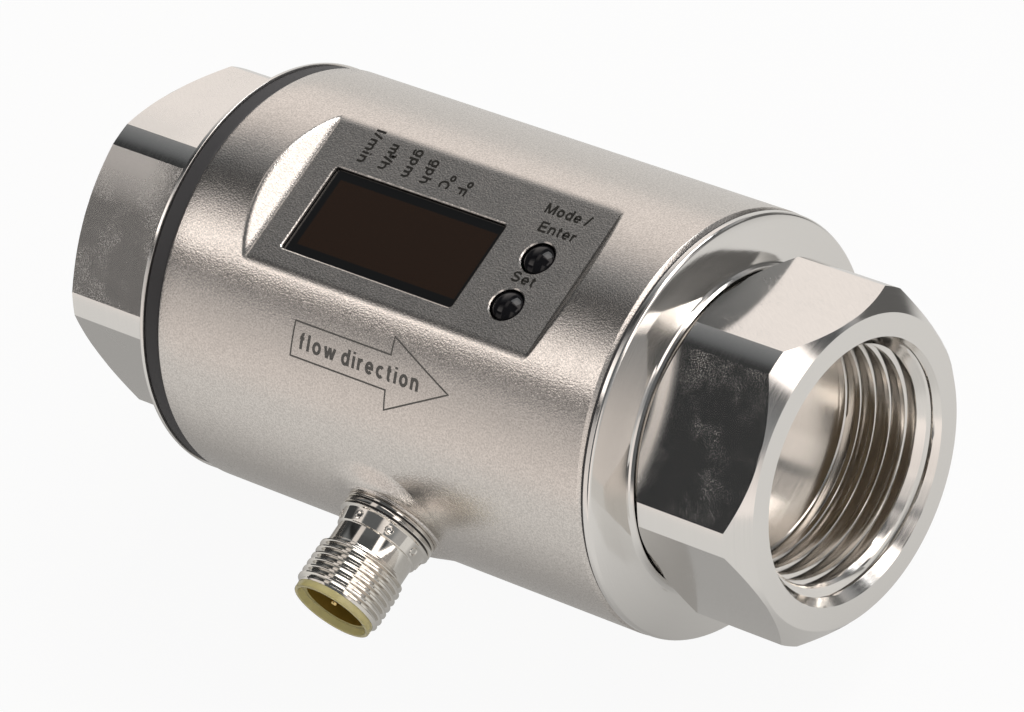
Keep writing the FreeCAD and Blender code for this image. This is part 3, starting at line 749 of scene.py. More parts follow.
def threadShare(v, crest, root):
    # 0 on the crest, 1 at the root, with rounded flanks between
    flank = (1 - crest - root) / 2
    if v < crest / 2 or v > 1 - crest / 2:
        return 0.0
    if v < crest / 2 + flank:
        return ease((v - crest / 2) / flank) * 0.5 + 0.5 * (v - crest / 2) / flank
    if v < crest / 2 + flank + root:
        return 1.0
    back = (1 - crest / 2 - v) / flank
    return ease(back) * 0.5 + 0.5 * back


def portThread(piece, face, side):
    f, t = fittingSizes, threadSizes
    angles = hexAngles(0.0)
    start = face - t["length"]
    turns = int(t["length"] / t["pitch"]) + 3
    columns = t["columns"]
    points = []
    for step in range(turns * len(angles) + 1):
        turn, index = divmod(step, len(angles))
        swept = turn + (angles[index] - angles[0]) / (2 * math.pi)
        for j in range(columns + 1):
            v = j / columns
            x = start + t["pitch"] * (swept + v - t["start"])
            mouth = f["portMouth"] - (face - x) * (f["portMouth"] - f["portRadius"]) / f["mouthDepth"]
            depth = t["depth"] * ease((x - start) / t["pitch"] / t["fade"])
            radius = max(f["portRadius"] + depth * threadShare(v, t["crest"], t["root"]), mouth)
            if x >= face:
                x, radius = face, f["portMouth"]
            if x <= start:
                x, radius = start, f["portRadius"]
            points.append(aboutX(side * x, radius, angles[index]))
    kept = []
    for q in gridFaces(turns * len(angles) + 1, columns + 1):
        # leaves out what lies squeezed flat at either end
        reaches = [abs(points[i][0]) for i in q]
        if max(reaches) <= start + 1e-6 or min(reaches) >= face - 1e-6:
            continue
        kept.append(q)
    piece.add(points, kept, 2)


def alongAxis(rows, side):
    return [(side * p[0], p[1], p[2]) for x, radius in rows for p in roundRing(x, radius)]


def hexRowsOf(hexBack, face, frontChamfer):
    # rows follow the chamfers, so the curved edges come out clean
    f = fittingSizes
    backSteps, frontSteps = 12, 14
    rows = [(hexBack, f["grooveRadius"]), (hexBack, f["flatRadius"] + 0.01)]
    rows += [(hexBack + f["backChamfer"] * k / backSteps,
              f["flatRadius"] + (f["cornerRadius"] - f["flatRadius"]) * k / backSteps)
             for k in range(1, backSteps + 1)]
    middle = face - hexBack - f["backChamfer"] - frontChamfer
    rows += [(face - frontChamfer - middle * (1 - k / 3), f["cornerRadius"]) for k in range(1, 4)]
    rows += [(face - frontChamfer * (1 - k / frontSteps),
              f["cornerRadius"] + (f["faceRadius"] - f["cornerRadius"]) * k / frontSteps)
             for k in range(1, frontSteps + 1)]
    return rows


def makeFitting(name, node, end, rimBack):
    f, e = fittingSizes, fittingEnds[end]
    side, rimWidth = e["side"], e["rimWidth"]
    low, high = boxMm(node)
    face = max(abs(low[0]), abs(high[0]))
    spigotEnd = min(abs(low[0]), abs(high[0]))
    hexBack = face - e["hexLength"]
    rimFace = rimBack + rimWidth
    grooveStart = hexBack - f["grooveWidth"]
    corners = [(spigotEnd, f["seatRadius"]), (spigotEnd, f["spigotRadius"]), (rimBack, f["spigotRadius"]),
               (rimBack, f["flangeRadius"], rimWidth * 0.12), (rimFace, f["flangeRadius"], rimWidth * 0.5),
               (grooveStart - f["neckFillet"] * 0.5, f["neckRadius"], f["neckFillet"]),
               (grooveStart, f["neckRadius"], f["neckEdge"]), (grooveStart, f["grooveRadius"]),
               (hexBack, f["grooveRadius"]), (hexBack, f["flatRadius"])]
    profile = softCorners(corners, 5)[:-1]
    # finer rows along the dish so its reflections stay smooth
    rows = []
    for a, b in zip(profile, profile[1:]):
        pieces = max(1, int(math.dist(a, b) / 1.5))
        for k in range(pieces):
            rows.append((a[0] + (b[0] - a[0]) * k / pieces, a[1] + (b[1] - a[1]) * k / pieces))
    rows.append(profile[-1])
    piece = Piece(name)
    count = 6 * sectorPoints
    piece.grid(alongAxis(rows, side), count, 0, False, True)
    hexRows = hexRowsOf(hexBack, face, e["frontChamfer"])
    points = []
    for x, radius in hexRows:
        ring = roundRing(x, radius) if radius <= f["flatRadius"] else hexRing(x, radius)
        points += [(side * p[0], p[1], p[2]) for p in ring]
    flats, others = [], []
    for q in gridFaces(len(hexRows), count, False, True):
        onFlat = q[0] % sectorPoints < 2 and hexRows[q[0] // count][1] > f["flatRadius"]
        (flats if onFlat else others).append(q)
    first = len(piece.points)
    piece.points += points
    for faces, slot in ((flats, 1), (others, 0)):
        piece.faces += [tuple(first + i for i in q) for q in faces]
        piece.slots += [slot] * len(faces)
    # port face, thread and bore
    piece.grid(alongAxis([(face, f["faceRadius"]), (face, f["portMouth"])], side), count, 0, False, True)
    portThread(piece, face, side)
    portFloor, seatEnd = hexBack - f["portBehindHex"], spigotEnd + f["seatDepth"]
    inner = [(face - threadSizes["length"], f["portRadius"]), (portFloor, f["portRadius"]),
             (portFloor, f["boreRadius"]), (seatEnd, f["boreRadius"]), (seatEnd, f["seatRadius"]),
             (spigotEnd, f["seatRadius"])]
    piece.grid(alongAxis(inner, side), count, 2, False, True)
    # slot 2, the thread and the bore, takes the paler steel with its painted light
    piece.build("root", "turned_steel", [node], ["turnedSteel", "milledSteel", "threadSteel"], sharp=14)


# Rubber rings between the housing and the flanges
sealSizes = {"steps": 180, "gap": 0.05, "inletBulge": 0.35, "outletBulge": 0.08}


def makeSeal(name, node, bulge):
    low, high = boxMm(node)
    outer = (high[2] - low[2]) / 2
    inner = fittingSizes["spigotRadius"] + sealSizes["gap"]
    corners = [(low[0], inner), (high[0], inner), (high[0], outer, bulge), (low[0], outer, bulge)]
    lathe(name, softCorners(corners, 4), aboutX, sealSizes["steps"], "root", "seal_rubber", [node],
          ["sealRubber"], sharp=35)


# Plug connector
plugSizes = {"steps": 96, "face": 27.7, "spigotRadius": 5.0, "bore": 4.75, "footRadius": 6.4,
             "footEnd": 29.5, "footSlope": 0.12, "grooves": (28.15, 28.98), "grooveWidth": 0.3,
             "grooveDepth": 0.28, "collarFoot": 5.95, "collarTip": 5.65, "collarEnd": 31.3,
             "neckRadius": 5.35}
plugThread = {"radius": 5.95, "depth": 0.56, "pitch": 1.0, "from": 34.0, "to": 40.6, "chamfer": 0.5,
              "columns": 12, "crest": 0.2, "root": 0.2, "start": 1.6, "fade": 0.6}
# punched dots round the collar: each ring is (share of the radius, height over the collar)
dotSizes = {"count": 8, "fromDeg": 93.2, "reach": 30.4, "radius": 0.50, "steps": 24,
            "rings": ((0.0, 0.01), (0.45, 0.02), (0.75, 0.05), (0.95, 0.11), (1.1, 0.09), (1.28, -0.03),
                      (1.28, -0.15), (0.0, -0.15))}


def addPlugThread(piece):
    t, steps = plugThread, plugSizes["steps"]
    start, end, pitch = t["from"], t["to"], t["pitch"]
    core = t["radius"] - t["depth"]
    rows = (int((end - start) / pitch) + 3) * steps + 1
    columns = t["columns"]
    points = []
    for step in range(rows):
        swept = step / steps
        for j in range(columns + 1):
            v = j / columns
            reach = start + pitch * (swept + v - t["start"])
            depth = t["depth"] * (1 - threadShare(v, t["crest"], t["root"]))
            depth *= ease((reach - start) / pitch / t["fade"])
            radius = min(core + depth, t["radius"] - max(0.0, reach - (end - t["chamfer"])))
            if reach >= end:
                reach, radius = end, t["radius"] - t["chamfer"]
            if reach <= start:
                reach, radius = start, core
            points.append(aboutPlug(reach, radius, 2 * math.pi * swept))
    kept = []
    for q in gridFaces(rows, columns + 1):
        # leaves out what lies squeezed flat at either end
        reaches = [-points[i][1] for i in q]
        if max(reaches) <= start + 1e-6 or min(reaches) >= end - 1e-6:
            continue
        kept.append(q)
    piece.add(points, kept)


def addPlugDots(piece):
    p, d = plugSizes, dotSizes
    slope = (p["collarFoot"] - p["collarTip"]) / (p["collarEnd"] - p["footEnd"])
    for k in range(d["count"]):
        turn = math.radians(d["fromDeg"] - 360 * k / d["count"])
        points = []
        for share, lift in d["rings"]:
            across = max(share, 0.01) * d["radius"]
            for around in turnsOf(d["steps"]):
                reach = d["reach"] + across * math.cos(around)
                radius = p["collarFoot"] - slope * (reach - p["footEnd"]) + lift
                points.append(aboutPlug(reach, radius, turn + across * math.sin(around) / p["collarTip"]))
        piece.grid(points, d["steps"], 0, True, True)


def makePlugShell():
    p, t = plugSizes, plugThread
    back = -boxMm("connector_shell")[1][1]
    start, end = t["from"], t["to"]
    core = t["radius"] - t["depth"]
    foot, width, floor = p["footRadius"], p["grooveWidth"], p["footRadius"] - p["grooveDepth"]
    corners = [(p["face"], p["spigotRadius"]), (p["face"], foot, 0.15)]
    for groove in p["grooves"]:
        corners += [(groove, foot, 0.05), (groove + 0.04, floor, 0.05), (groove + width - 0.04, floor, 0.05),
                    (groove + width, foot, 0.05)]
    corners += [(p["footEnd"] - p["footSlope"], foot, 0.05), (p["footEnd"], p["collarFoot"], 0.12),
                (p["collarEnd"], p["collarTip"], 0.14), (p["collarEnd"] + 0.12, p["neckRadius"], 0.06),
                (start - 0.2, p["neckRadius"], 0.1), (start, core), (start + 0.01, core)]
    outside = [(back, p["bore"]), (back, p["spigotRadius"])] + softCorners(corners, 3)[:-1]
    piece = Piece("plugShell")
    piece.grid(spun(outside, aboutPlug, p["steps"]), p["steps"], 0, False, True)
    addPlugThread(piece)
    edge = (end, t["radius"] - t["chamfer"])
    mouth = [edge] + softCorners([edge, (end, p["bore"], 0.1), (back, p["bore"])], 3)[1:]
    piece.grid(spun(mouth, aboutPlug, p["steps"]), p["steps"], 0, False, True)
    # painted shade: thin black rings on the floors of the two grooves stand for the shade in them
    for groove in p["grooves"]:
        spots = ((0.1, -0.05), (0.1, 0.06), (0.9, 0.06), (0.9, -0.05))
        profile = [(groove + along * width, floor + lift) for along, lift in spots]
        piece.grid(spun(profile, aboutPlug, p["steps"]), p["steps"], 1, True, True)
    addPlugDots(piece)
    piece.build("root", "nickel_plate", ["connector_shell"], ["nickelPlate", "blackPlastic"], sharp=28)


insertSizes = {"outer": 4.7, "inner": 4.2, "lip": 5.45, "lipHeight": 1.0, "rimInner": 4.95,
               "recess": 1.0, "recessFoot": 4.85, "floorDepth": 9.0, "steps": 96,
               "keyWidth": 1.2, "keyDepth": 0.6, "keyEdge": (0.15, 0.12), "keyFrom": 0.4, "keyTo": 1.1}


def makePlugInsert():
    n = insertSizes
    low, high = boxMm("connector_insert")
    back, tip = -high[1], -low[1]
    floor, ledge, lipFoot = tip - n["floorDepth"], tip - n["recess"], tip - n["lipHeight"]
    rim = softCorners([(back, 0.01), (back, n["outer"]), (lipFoot, n["outer"]), (lipFoot, n["lip"], 0.08),
                       (tip, n["lip"], 0.2), (tip, n["rimInner"], 0.15), (ledge, n["recessFoot"], 0.1),
                       (ledge, n["inner"])], 5)
    # the deep hole takes the darkened amber, painted shade
    deep = softCorners([(ledge, n["inner"]), (floor, n["inner"], 0.3), (floor, 0.01), (back, 0.01)], 5)
    piece = Piece("plugInsert")
    for slot, profile in enumerate((rim, deep)):
        piece.grid(spun(profile, aboutPlug, n["steps"]), n["steps"], slot, False, True)
    # the key that turns the plug the right way round
    half, inner, outer = n["keyWidth"] / 2, n["inner"] - n["keyDepth"], n["inner"] + 0.2
    edgeX, edgeZ = n["keyEdge"]
    rows = [(-half, inner), (-half + edgeX, inner - edgeZ), (half - edgeX, inner - edgeZ), (half, inner),
            (half, outer), (-half, outer)]
    points = [(plugX + x, -reach, z) for reach in (floor + n["keyFrom"], tip - n["keyTo"]) for x, z in rows]
    piece.grid(points, 6, 0, False, True)
    piece.add(points, [(5, 4, 3, 2, 1, 0), (6, 7, 8, 9, 10, 11)])
    piece.build("root", "amber_nylon", ["connector_insert"], ["amberNylon", "amberDeep"], sharp=35)


pinSizes = {"radius": 0.5, "tipRound": 0.35, "steps": 32}


def makePlugPins():
    s = pinSizes
    low, high = boxMm("connector_pins")
    back, tip = -high[1], -low[1]
    centre = (high[0] - low[0]) / 2 - s["radius"]
    corners = [(back, 0.005), (back, s["radius"]), (tip, s["radius"], s["tipRound"]), (tip, 0.005)]
    pin = spun(softCorners(corners, 5), aboutPlug, s["steps"])
    piece = Piece("plugPins")
    for x, z in ((1, 1), (-1, 1), (-1, -1), (1, -1)):
        piece.grid([(p[0] + x * centre, p[1], p[2] + z * centre) for p in pin], s["steps"], 0, True, True)
    piece.build("root", "gold_contact", ["connector_pins"], ["goldContact"], sharp=35)


# Pushbuttons
buttonSizes = {"radius": 2.1, "dome": 0.9, "lip": 0.5, "domeRows": 12, "steps": 72}


def makeButton(name, node, body):
    b = buttonSizes
    low, high = boxMm(node)
    x, y = (low[0] + high[0]) / 2, (low[1] + high[1]) / 2
    flange = (high[0] - low[0]) / 2
    edge = high[2] - b["dome"]
    ball = (b["radius"] ** 2 + b["dome"] ** 2) / (2 * b["dome"])
    shoulder = low[2] + b["lip"]
    profile = [(low[2], 0.01), (low[2], flange), (shoulder, flange), (shoulder, b["radius"]),
               (edge - 0.12, b["radius"]), (edge - 0.02, b["radius"] - 0.03)]
    sweep = math.asin(b["radius"] / ball)
    for k in range(1, b["domeRows"] + 1):
        angle = sweep * (1 - k / b["domeRows"])
        profile.append((high[2] - ball + ball * math.cos(angle), max(ball * math.sin(angle), 0.01)))
    lathe(name, profile, aboutUpright(x, y), b["steps"], body, "button_black", [node], ["buttonPlastic"],
          sharp=35)


# Window pane with softened edges
paneSizes = {"corner": 0.5, "bevel": 0.12, "steps": 6}


def makeWindow():
    p = paneSizes
    low, high = boxMm("display_window")
    top, bevel = high[2], p["bevel"]
    levels = ((low[2], 0.0), (top - bevel, 0.0), (top - bevel * 0.3, bevel * 0.3), (top, bevel),
              (top, bevel + 0.05))
    points = []
    for z, inset in levels:
        rect = roundedRect(low[0] + inset, high[0] - inset, low[1] + inset, high[1] - inset,
                           p["corner"] - inset, p["steps"])
        points += [(x, y, z) for x, y in rect]
    columns = len(points) // len(levels)
    piece = Piece("windowPane").grid(points, columns, 0, False, True)
    piece.add(points, [tuple(range(columns - 1, -1, -1)), tuple(4 * columns + i for i in range(columns))])
    piece.build("root", "window_glass", ["display_window"], ["windowGlass"], sharp=30)


# Lettering: plain letters drawn as strokes; capitals are 1 high and strokes run along their middles
stroke = 0.14
edge = stroke / 2
capTop, smallTop = 1 - edge, 0.73 - edge


def arc(x, y, across, up, start, stop, steps=10):
    turns = [math.radians(start + (stop - start) * i / steps) for i in range(steps + 1)]
    return [(x + across * math.cos(t), y + up * math.sin(t)) for t in turns]


def bowl(middle, half):
    return arc(middle, 0.365, half - edge, 0.365 - edge, 0, 360, 18)[:-1]


def archFrom(left, right):
    half = (right - left) / 2
    return [(left, 0.30)] + arc(left + half, 0.40, half, smallTop - 0.40, 180, 0) + [(right, 0.0)]


# each glyph: width, then its strokes; a stroke marked loop closes on itself
glyphs = {
    "C": (0.76, arc(0.40, 0.5, 0.40 - edge, 0.5 - edge, 42, 318, 16)),
    "E": (0.64, [(edge, 0.0), (edge, 1.0)], [(edge, capTop), (0.62, capTop)], [(edge, 0.52), (0.57, 0.52)],
          [(edge, edge), (0.64, edge)]),
    "F": (0.58, [(edge, 0.0), (edge, 1.0)], [(edge, capTop), (0.58, capTop)], [(edge, 0.50), (0.52, 0.50)]),
    "M": (0.84, [(edge, 0.0), (edge, 1.0)], [(edge + 0.02, 0.97), (0.42, 0.03)],
          [(0.42, 0.03), (0.82 - edge, 0.97)], [(0.84 - edge, 0.0), (0.84 - edge, 1.0)]),
    "S": (0.66, arc(0.33, 0.74, 0.25, 0.19, 15, 250) + arc(0.33, 0.29, 0.27, 0.22, 75, -165)),
    "c": (0.52, arc(0.29, 0.365, 0.29 - edge, 0.365 - edge, 48, 312, 14)),
    "d": (0.56, ("loop", bowl(0.28, 0.28)), [(0.56 - edge, 0.0), (0.56 - edge, 1.0)]),
    "e": (0.56,
          [(edge, 0.36), (0.56 - edge, 0.36)] + arc(0.28, 0.365, 0.28 - edge, 0.365 - edge, 8, 318, 16)),
    "f": (0.32, [(0.14, 0.0), (0.14, 0.80)] + arc(0.27, 0.80, 0.13, 0.13, 170, 85, 5),
          [(0.0, smallTop), (0.31, smallTop)]),
    "g": (0.56, ("loop", bowl(0.28, 0.28)),
          [(0.56 - edge, 0.73), (0.56 - edge, -0.02)] + arc(0.28, -0.02, 0.28 - edge, 0.19, 0, -150, 8)),
    "h": (0.54, [(edge, 0.0), (edge, 1.0)], archFrom(edge, 0.54 - edge)),
    "i": (0.14, [(edge, 0.0), (edge, 0.73)], [(edge, 0.86), (edge, 1.0)]),
    "l": (0.14, [(edge, 0.0), (edge, 1.0)]),
    "m": (0.86, [(edge, 0.0), (edge, 0.73)], archFrom(edge, 0.43), archFrom(0.43, 0.86 - edge)),
    "n": (0.54, [(edge, 0.0), (edge, 0.73)], archFrom(edge, 0.54 - edge)),
    "o": (0.58, ("loop", bowl(0.29, 0.29))),
    "p": (0.56, ("loop", bowl(0.28, 0.28)), [(edge, -0.27), (edge, 0.73)]),
    "r": (0.33, [(edge, 0.0), (edge, 0.73)],
          [(edge, 0.34)] + arc(0.33, 0.38, 0.26, smallTop - 0.38, 180, 90, 6)),
    "t": (0.31, [(0.13, 0.92), (0.13, 0.20)] + arc(0.25, 0.19, 0.12, 0.19 - edge, 180, 280, 6),
          [(0.0, smallTop), (0.30, smallTop)]),
    "w": (0.80, [(0.05, 0.72), (0.22, 0.03)], [(0.22, 0.03), (0.40, 0.70)], [(0.40, 0.70), (0.58, 0.03)],
          [(0.58, 0.03), (0.75, 0.72)]),
    "/": (0.30, [(0.03, -0.02), (0.27, 1.02)]),
    "°": (0.46, ("loop", arc(0.23, 0.95, 0.20, 0.20, 0, 360, 16)[:-1])),
    "³": (0.34, arc(0.15, 0.87, 0.14, 0.13, 150, -80, 8) + arc(0.15, 0.61, 0.15, 0.15, 80, -150, 8)),
}


def ribbon(piece, points, half, place, loop, lift):
    # a closed flat strip that follows the points; place puts (along, up, height) in space
    count = len(points)
    rows = []
    for i, (x, y) in enumerate(points):
        last = points[i - 1] if i or loop else points[0]
        following = points[(i + 1) % count] if i < count - 1 or loop else points[-1]
        before = Vector((x - last[0], y - last[1]))
        after = Vector((following[0] - x, following[1] - y))
        along = (before.normalized() + after.normalized()).normalized()
        side = Vector((-along.y, along.x))
        lean = max(side.dot(Vector((-after.y, after.x)).normalized()) if after.length else 1.0, 0.6)
        reach = side * half / lean
        for sign, height in ((1, lift), (-1, lift), (-1, -2 * lift), (1, -2 * lift)):
            rows.append(place(x + reach.x * sign, y + reach.y * sign, height))
    piece.grid(rows, 4, 0, loop, True)
    if not loop:
        piece.add(rows, [(3, 2, 1, 0), tuple((count - 1) * 4 + j for j in range(4))])


def densePath(points, step):
    # long straight strokes get points between, so they can follow a curved face
    dense = [points[0]]
    for a, b in zip(points, points[1:]):
        pieces = max(1, math.ceil(math.dist(a, b) / step))
        for k in range(1, pieces + 1):
            dense.append((a[0] + (b[0] - a[0]) * k / pieces, a[1] + (b[1] - a[1]) * k / pieces))
    return dense


strokeSizes = {"step": 0.25, "lift": 0.010, "liftMore": 0.002}   # each further stroke lies a little higher


def writeWord(piece, word, start, stop, height, gap, place):
    # the word's letters share the room between start and stop; place takes (along, up, height)
    natural = sum(glyphs[letter][0] for letter in word) + gap * (len(word) - 1)
    across = (stop - start) / natural
    half = edge * height * legendLook["weight"]
    pen = 0.0
    for letter in word:
        for number, line in enumerate(glyphs[letter][1:]):
            loop = line[0] == "loop"
            points = line[1] if loop else densePath(line, strokeSizes["step"])
            spots = [(start + (pen + x) * across, y * height) for x, y in points]
            ribbon(piece, spots, half, place, loop, strokeSizes["lift"] + strokeSizes["liftMore"] * number)
        pen += glyphs[letter][0] + gap


# Unit symbols read towards -Y, key legends towards +X: text, its start and stop, its baseline
legendLook = {"weight": 1.45, "unitHeight": 1.50, "keyHeight": 1.45, "gap": 0.15}
unitLegends = [("l/min", 11.20, 6.15, -16.22), ("m", 10.00, 8.60, -12.76), ("/", 8.02, 7.44, -12.76),
               ("h", 7.30, 6.15, -12.76), ("gpm", 10.40, 6.15, -8.88), ("gph", 9.77, 6.15, -5.84),
               ("C", 7.50, 6.23, -2.90), ("F", 7.30, 6.23, -0.07)]
unitMarks = [("³", 8.60, 8.12, -12.76), ("°", 8.48, 7.68, -2.90), ("°", 8.40, 7.60, -0.07)]
keyLegends = [("Mode", 13.35, 18.90, 7.77), ("/", 19.65, 20.35, 7.77), ("Enter", 14.08, 19.78, 5.15),
              ("Set", 14.85, 18.43, -2.30)]


def makeLegends():
    look = legendLook
    base = housingSizes["flatHeight"]
    units = Piece("unitLegends")
    for text, start, stop, baseline in unitLegends + unitMarks:
        writeWord(units, text, -start, -stop, look["unitHeight"], look["gap"],
                  lambda along, up, lift: (baseline + up, -along, base + lift))
    units.build("root", "blasted_steel", [], ["printedLegend"], sharp=30)
    keys = Piece("keyLegends")
    for text, start, stop, baseline in keyLegends:
        writeWord(keys, text, start, stop, look["keyHeight"], look["gap"],
                  lambda along, up, lift: (along, baseline + up, base + lift))
    keys.build("root", "blasted_steel", [], ["printedLegend"], sharp=30)


# Flow arrow on the barrel: corners and words as (x, arc length down from the display's middle)
arrowSizes = {"tail": -11.7, "shoulder": 4.0, "tip": 13.8, "middle": 19.2, "shaft": (16.9, 21.4),
              "head": (14.6, 24.0), "line": 0.22, "textHeight": 2.1, "baseline": 20.2, "gap": 0.26,
              "words": (("flow", -10.5, -4.6), ("direction", -3.5, 9.0)), "step": 0.6, "lift": 0.012}


def onBarrel(x, arcLength, lift):
    angle = math.pi / 2 + arcLength / housingSizes["radius"]
    return aboutX(x, housingSizes["radius"] + lift, angle)


def makeArrow():
    a = arrowSizes
    (shaftTop, shaftFoot), (headTop, headFoot) = a["shaft"], a["head"]
    corners = [(a["tail"], shaftTop), (a["shoulder"], shaftTop), (a["shoulder"], headTop),
               (a["tip"], a["middle"]), (a["shoulder"], headFoot), (a["shoulder"], shaftFoot),
               (a["tail"], shaftFoot)]
    piece = Piece("flowArrow")
    outline = densePath(corners + corners[:1], a["step"])[:-1]
    ribbon(piece, outline, a["line"] / 2, onBarrel, True, a["lift"])
    piece.build("root", "blasted_steel", [], ["etchedLegend"], sharp=30)
    words = Piece("flowWords")
    for text, start, stop in a["words"]:
        writeWord(words, text, start, stop, a["textHeight"], a["gap"],
                  lambda along, up, lift: onBarrel(along, a["baseline"] - up, lift))
    words.build("root", "blasted_steel", [], ["etchedLegend"], sharp=30)


makeHousing()
rings = {"inlet": boxMm("inlet_gasket"), "outlet": boxMm("outlet_seal")}
makeFitting("inletFitting", "inlet_fitting", "inlet", -rings["inlet"][0][0])
makeFitting("outletFitting", "outlet_fitting", "outlet", rings["outlet"][1][0])
makeSeal("inletRing", "inlet_gasket", sealSizes["inletBulge"])
makeSeal("outletRing", "outlet_seal", sealSizes["outletBulge"])
makePlugShell()
makePlugInsert()
makePlugPins()
makeButton("modeButton", "mode_button", "mode_key")
makeButton("setButton", "set_button", "set_key")
makeWindow()
makeLegends()
makeArrow()
print("pieces made")


# Floor: pale for the eye; the metal sees it by the levels below, which paint a shadow on it
floorLook = {"size": 3.0, "below": 0.1, "color": (0.86, 0.86, 0.86), "shade": 0.985, "rough": 0.9,
             "shine": 0.1, "cameraGlow": 0.93, "mirrorTint": (1.0, 0.98, 0.95)}
# painted shadow: the level that the metal sees by Y in millimetres, darkest just in front of the part
mirrorFloorShadow = [(-120, 0.74), (-80, 0.66), (-55, 0.51), (-40, 0.40), (-30, 0.40), (-12, 0.52), (12, 0.66),
               (60, 0.72)]
# one even level beyond the outlet end, clear of the painted shadow, and a dark one behind it, a painted dark
# patch that only the metal sees; each fades in between its X and Y values
mirrorShadowZones = [{"x": (48, 84), "y": (-900, -800), "level": 0.74},
               {"x": (25, 60), "y": (58, 78), "level": 0.12}]


def mirrorColor(level):
    return (*(level * share for share in floorLook["mirrorTint"]), 1)


def makeFloor():
    look = floorLook
    half = look["size"]
    bottom = -(housingSizes["radius"] + look["below"]) * mm
    corners = [(x, y, bottom) for x, y in ((-half, -half), (half, -half), (half, half), (-half, half))]
    mesh = bpy.data.meshes.new("floor")
    mesh.from_pydata(corners, [], [(0, 1, 2, 3)])
    floor = bpy.data.objects.new("floor", mesh)
    bpy.context.scene.collection.objects.link(floor)
    s = Shader("paleFloor")
    s.set(Roughness=look["rough"], Specular_IOR_Level=look["shine"])
    soft = s.noise(s.place(), 0.002, 2.0)
    s.color(s.blend(soft, "Fac", look["color"], [c * look["shade"] for c in look["color"]]))
    parts = s.parts(s.place())
    # the painted shadow levels by Y, then the zones over them
    nearest, farthest = mirrorFloorShadow[0][0], mirrorFloorShadow[-1][0]
    depth = s.spread(parts, "Y", 0, 1, nearest, farthest)
    shade = s.node("ShaderNodeValToRGB")
    stops = shade.color_ramp.elements
    while len(stops) < len(mirrorFloorShadow):
        stops.new(1.0)
    for stop, (at, level) in zip(stops, mirrorFloorShadow):
        stop.position = (at - nearest) / (farthest - nearest)
        stop.color = mirrorColor(level)
    s.link(depth, "Result", shade, "Fac")
    mirror = shade.outputs["Color"]
    for zone in mirrorShadowZones:
        along = s.spread(parts, "X", 0, 1, *zone["x"])
        back = s.spread(parts, "Y", 0, 1, *zone["y"])
        inside = s.combine("MULTIPLY", (along, "Result"), (back, "Result"))
        mixed = s.node("ShaderNodeMix", data_type="RGBA")
        s.link(inside, "Value", mixed, 0)
        s.tree.links.new(mirror, mixed.inputs[6])
        mixed.inputs[7].default_value = mirrorColor(zone["level"])
        mirror = mixed.outputs[2]
    # camera and glossy rays get their own glow, even for the camera and the painted shadow levels for the
    # metal; the rest sees the plain floor with the shadow
    seen = s.node("ShaderNodeLightPath")
    last = s.bsdf.outputs["BSDF"]
    for ray, share in (("Is Glossy Ray", 1.0), ("Is Camera Ray", look["cameraGlow"])):
        glow = s.node("ShaderNodeEmission", Strength=1.0)
        if ray == "Is Glossy Ray":
            s.tree.links.new(mirror, glow.inputs["Color"])
        scaled = s.node("ShaderNodeMath", operation="MULTIPLY")
        scaled.inputs[1].default_value = share
        s.link(seen, ray, scaled, 0)
        mix = s.node("ShaderNodeMixShader")
        s.link(scaled, "Value", mix, "Fac")
        s.tree.links.new(last, mix.inputs[1])
        s.tree.links.new(glow.outputs["Emission"], mix.inputs[2])
        last = mix.outputs["Shader"]
    s.tree.links.new(last, s.tree.nodes["Material Output"].inputs["Surface"])
    mesh.materials.append(s.material)


# Studio walls as the metal reflects them: level by degrees round the pipe's axis, from +Y over +Z,
# for the inlet half and the outlet half of the room
inletWalls = [(0, 0.95), (24, 0.97), (38, 0.80), (50, 0.46), (59, 0.22), (66, 0.16), (72, 0.02), (83, 0.05),
              (94, 0.46), (102, 1.20), (110, 1.50), (118, 2.15), (120, 0.80), (122, 0.03), (130, 0.03),
              (134, 0.44), (141, 0.58), (150, 0.62), (165, 0.80), (180, 0.82)]
outletWalls = [(0, 0.45), (9, 0.30), (17, 0.08), (31, 0.10), (44, 0.22), (60, 0.22), (67, 0.15), (71, 0.08),
               (92, 0.13), (106, 0.22), (122, 0.30), (131, 0.75), (140, 0.82), (180, 1.00)]
# light and dark panels before the walls: where each begins, is full, starts to fade and ends, by the
# X part of the direction and by degrees round the axis
softBands = [{"x": (-0.42, -0.36, 0.30, 0.44), "turn": (76, 82, 165, 178), "level": 0.12},
             {"x": (-0.43, -0.38, -0.20, -0.14), "turn": (55, 60, 78, 98), "level": 0.75},
             {"x": (-0.10, 0.05, 0.98, 1.00), "turn": (31, 42, 61, 67), "level": 2.2},
             {"x": (0.55, 0.61, 0.72, 0.80), "turn": (50, 55, 90, 96), "level": 1.9},
             {"x": (0.26, 0.36, 0.54, 0.62), "turn": (99, 106, 126, 136), "level": 1.1}]
roomMiddle = (-0.49, -0.41)     # where the inlet half turns into the outlet half
roomEnds = {"inlet": (-0.74, -0.88, 0.05), "outlet": (0.84, 0.94, 0.40)}


